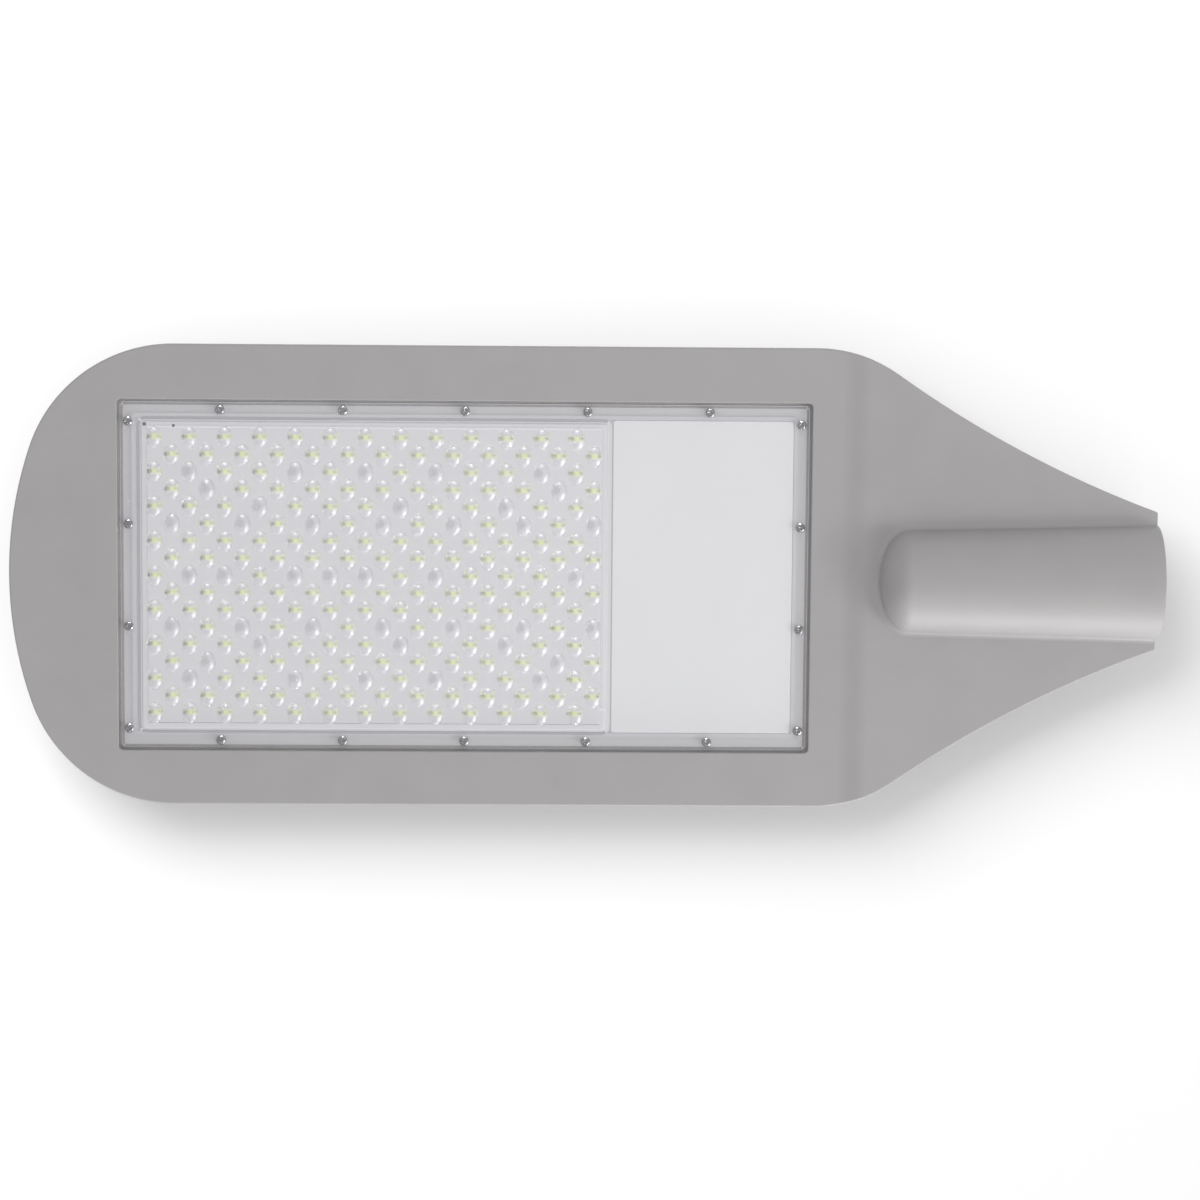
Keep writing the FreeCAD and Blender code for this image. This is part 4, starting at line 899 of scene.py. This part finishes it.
def link_light(lamps, name, receivers, state="INCLUDE"):
    """Lets lamps light the receivers alone, or everything but them (EXCLUDE)."""
    group = bpy.data.collections.new(name)
    for receiver in receivers:
        group.objects.link(receiver)
    for member in group.collection_objects:
        member.light_linking.link_state = state
    for lamp in lamps:
        lamp.light_linking.receiver_collection = group


def white_world(scene):
    """Soft light from all round; what the camera, gloss and clear pieces see of it is plain white."""
    scene.world = bpy.data.worlds.new("studio")
    scene.world.use_nodes = True
    tree = scene.world.node_tree
    tree.nodes.clear()
    path = add_node(tree, "ShaderNodeLightPath").outputs
    seen = path["Is Camera Ray"]
    for ray in ("Is Glossy Ray", "Is Transmission Ray"):
        seen = add_node(tree, "ShaderNodeMath", {0: seen, 1: path[ray]}, operation="MAXIMUM").outputs[0]
    level = add_node(tree, "ShaderNodeMapRange", {"Value": seen, "To Min": WORLD_LIGHT, "To Max": 1.0})
    sky = add_node(tree, "ShaderNodeBackground", {"Color": (1, 1, 1, 1), "Strength": level.outputs[0]})
    add_node(tree, "ShaderNodeOutputWorld", {"Surface": sky.outputs[0]})


def photo_camera(scene):
    """Camera at the photograph's place, with -Y up in the picture."""
    forward = (AIM - EYE).normalized()
    level = forward.cross(Vector((0, -1, 0))).normalized()
    up = level.cross(forward) * math.cos(ROLL) + level * math.sin(ROLL)
    lens = bpy.data.cameras.new("photo_camera")
    lens.sensor_width = SENSOR_WIDTH
    lens.lens = FOCAL_LENGTH
    lens.clip_end = 50.0
    camera = bpy.data.objects.new("photo_camera", lens)
    scene.collection.objects.link(camera)
    camera.location = EYE
    camera.rotation_euler = Matrix((forward.cross(up), up, -forward)).transposed().to_euler()
    scene.camera = camera


class STREETLIGHT_OT_stage(bpy.types.Operator):
    """Set the camera, the soft lamps, the floor and the backdrop behind the lamp"""
    bl_idname = "streetlight.stage"
    bl_label = "Stage"

    def execute(self, context):
        scene = context.scene
        scene.view_settings.view_transform = "Standard"
        low, high = CAD_BOX
        floor = stage_sheet("floor", low[2] - SHEET_GAP, 1, "#E9E9E9")
        backdrop = stage_sheet("backdrop", high[2] + SHEET_GAP, -1, "#F7F7F7")
        lamps = [softbox("key_lamp", (1.4, 0.7, -1.4), 0.8, 15.0),
                 softbox("side_lamp", (0.2, 2.2, -0.12), 0.7, 33.0),
                 softbox("front_lamp", (-0.2, -0.4, -2.7), 1.6, 12.0),
                 softbox("rim_lamp", (-0.45, -1.9, -0.4), 0.5, 1.5)]
        softbox("top_lamp", (-0.1, -0.9, 2.0), 1.4, 14.0)
        backdrop_lamp = softbox("backdrop_lamp", (-1.9, -2.3, -3.1), 2.7, 115.0, BACKDROP_AIM)
        link_light([backdrop_lamp], "backdrop_paper", [backdrop])
        link_light(lamps, "all_but_paper", [floor, backdrop], "EXCLUDE")
        # Two windows of light that only the lenses and the cover screws catch, for the glints on them.
        glints = [softbox("upper_glint", (-0.45, -1.9, -0.4), 0.5, 75.0),
                  softbox("lower_glint", (0.92, 1.14, -0.57), 0.6, 75.0)]
        link_light(glints, "glinting_pieces",
                   [bpy.data.objects[name] for name in ("lens_cover_lenses", "cover_screw_set")])
        for lamp in glints:
            lamp.visible_transmission = lamp.visible_diffuse = False
        white_world(scene)
        photo_camera(scene)
        return {"FINISHED"}


PIECES = (STREETLIGHT_OT_casting, STREETLIGHT_OT_cover, STREETLIGHT_OT_leds, STREETLIGHT_OT_screws,
          STREETLIGHT_OT_plate, STREETLIGHT_OT_clamp, STREETLIGHT_OT_gear, STREETLIGHT_OT_stage)


class STREETLIGHT_PT_panel(bpy.types.Panel):
    """Sizes, colours and pieces of the street light head"""
    bl_idname = "STREETLIGHT_PT_panel"
    bl_label = "Street light head"
    bl_space_type = "VIEW_3D"
    bl_region_type = "UI"
    bl_category = "Street Light"

    def draw(self, context):
        for group in (context.scene.street_light_sizes, context.scene.street_light_colours):
            column = self.layout.column(align=True)
            for name in group.__annotations__:
                column.prop(group, name)
        column = self.layout.column(align=True)
        for piece in PIECES:
            column.operator(piece.bl_idname)


CLASSES = (StreetLightSizes, StreetLightColours) + PIECES + (STREETLIGHT_PT_panel,)


def register():
    for cls in CLASSES:
        bpy.utils.register_class(cls)
    bpy.types.Scene.street_light_sizes = bpy.props.PointerProperty(type=StreetLightSizes)
    bpy.types.Scene.street_light_colours = bpy.props.PointerProperty(type=StreetLightColours)


def unregister():
    del bpy.types.Scene.street_light_colours
    del bpy.types.Scene.street_light_sizes
    for cls in reversed(CLASSES):
        bpy.utils.unregister_class(cls)


def main():
    register()
    for piece in PIECES:
        group, name = piece.bl_idname.split(".")
        getattr(getattr(bpy.ops, group), name)()


if __name__ == "__main__":
    main()
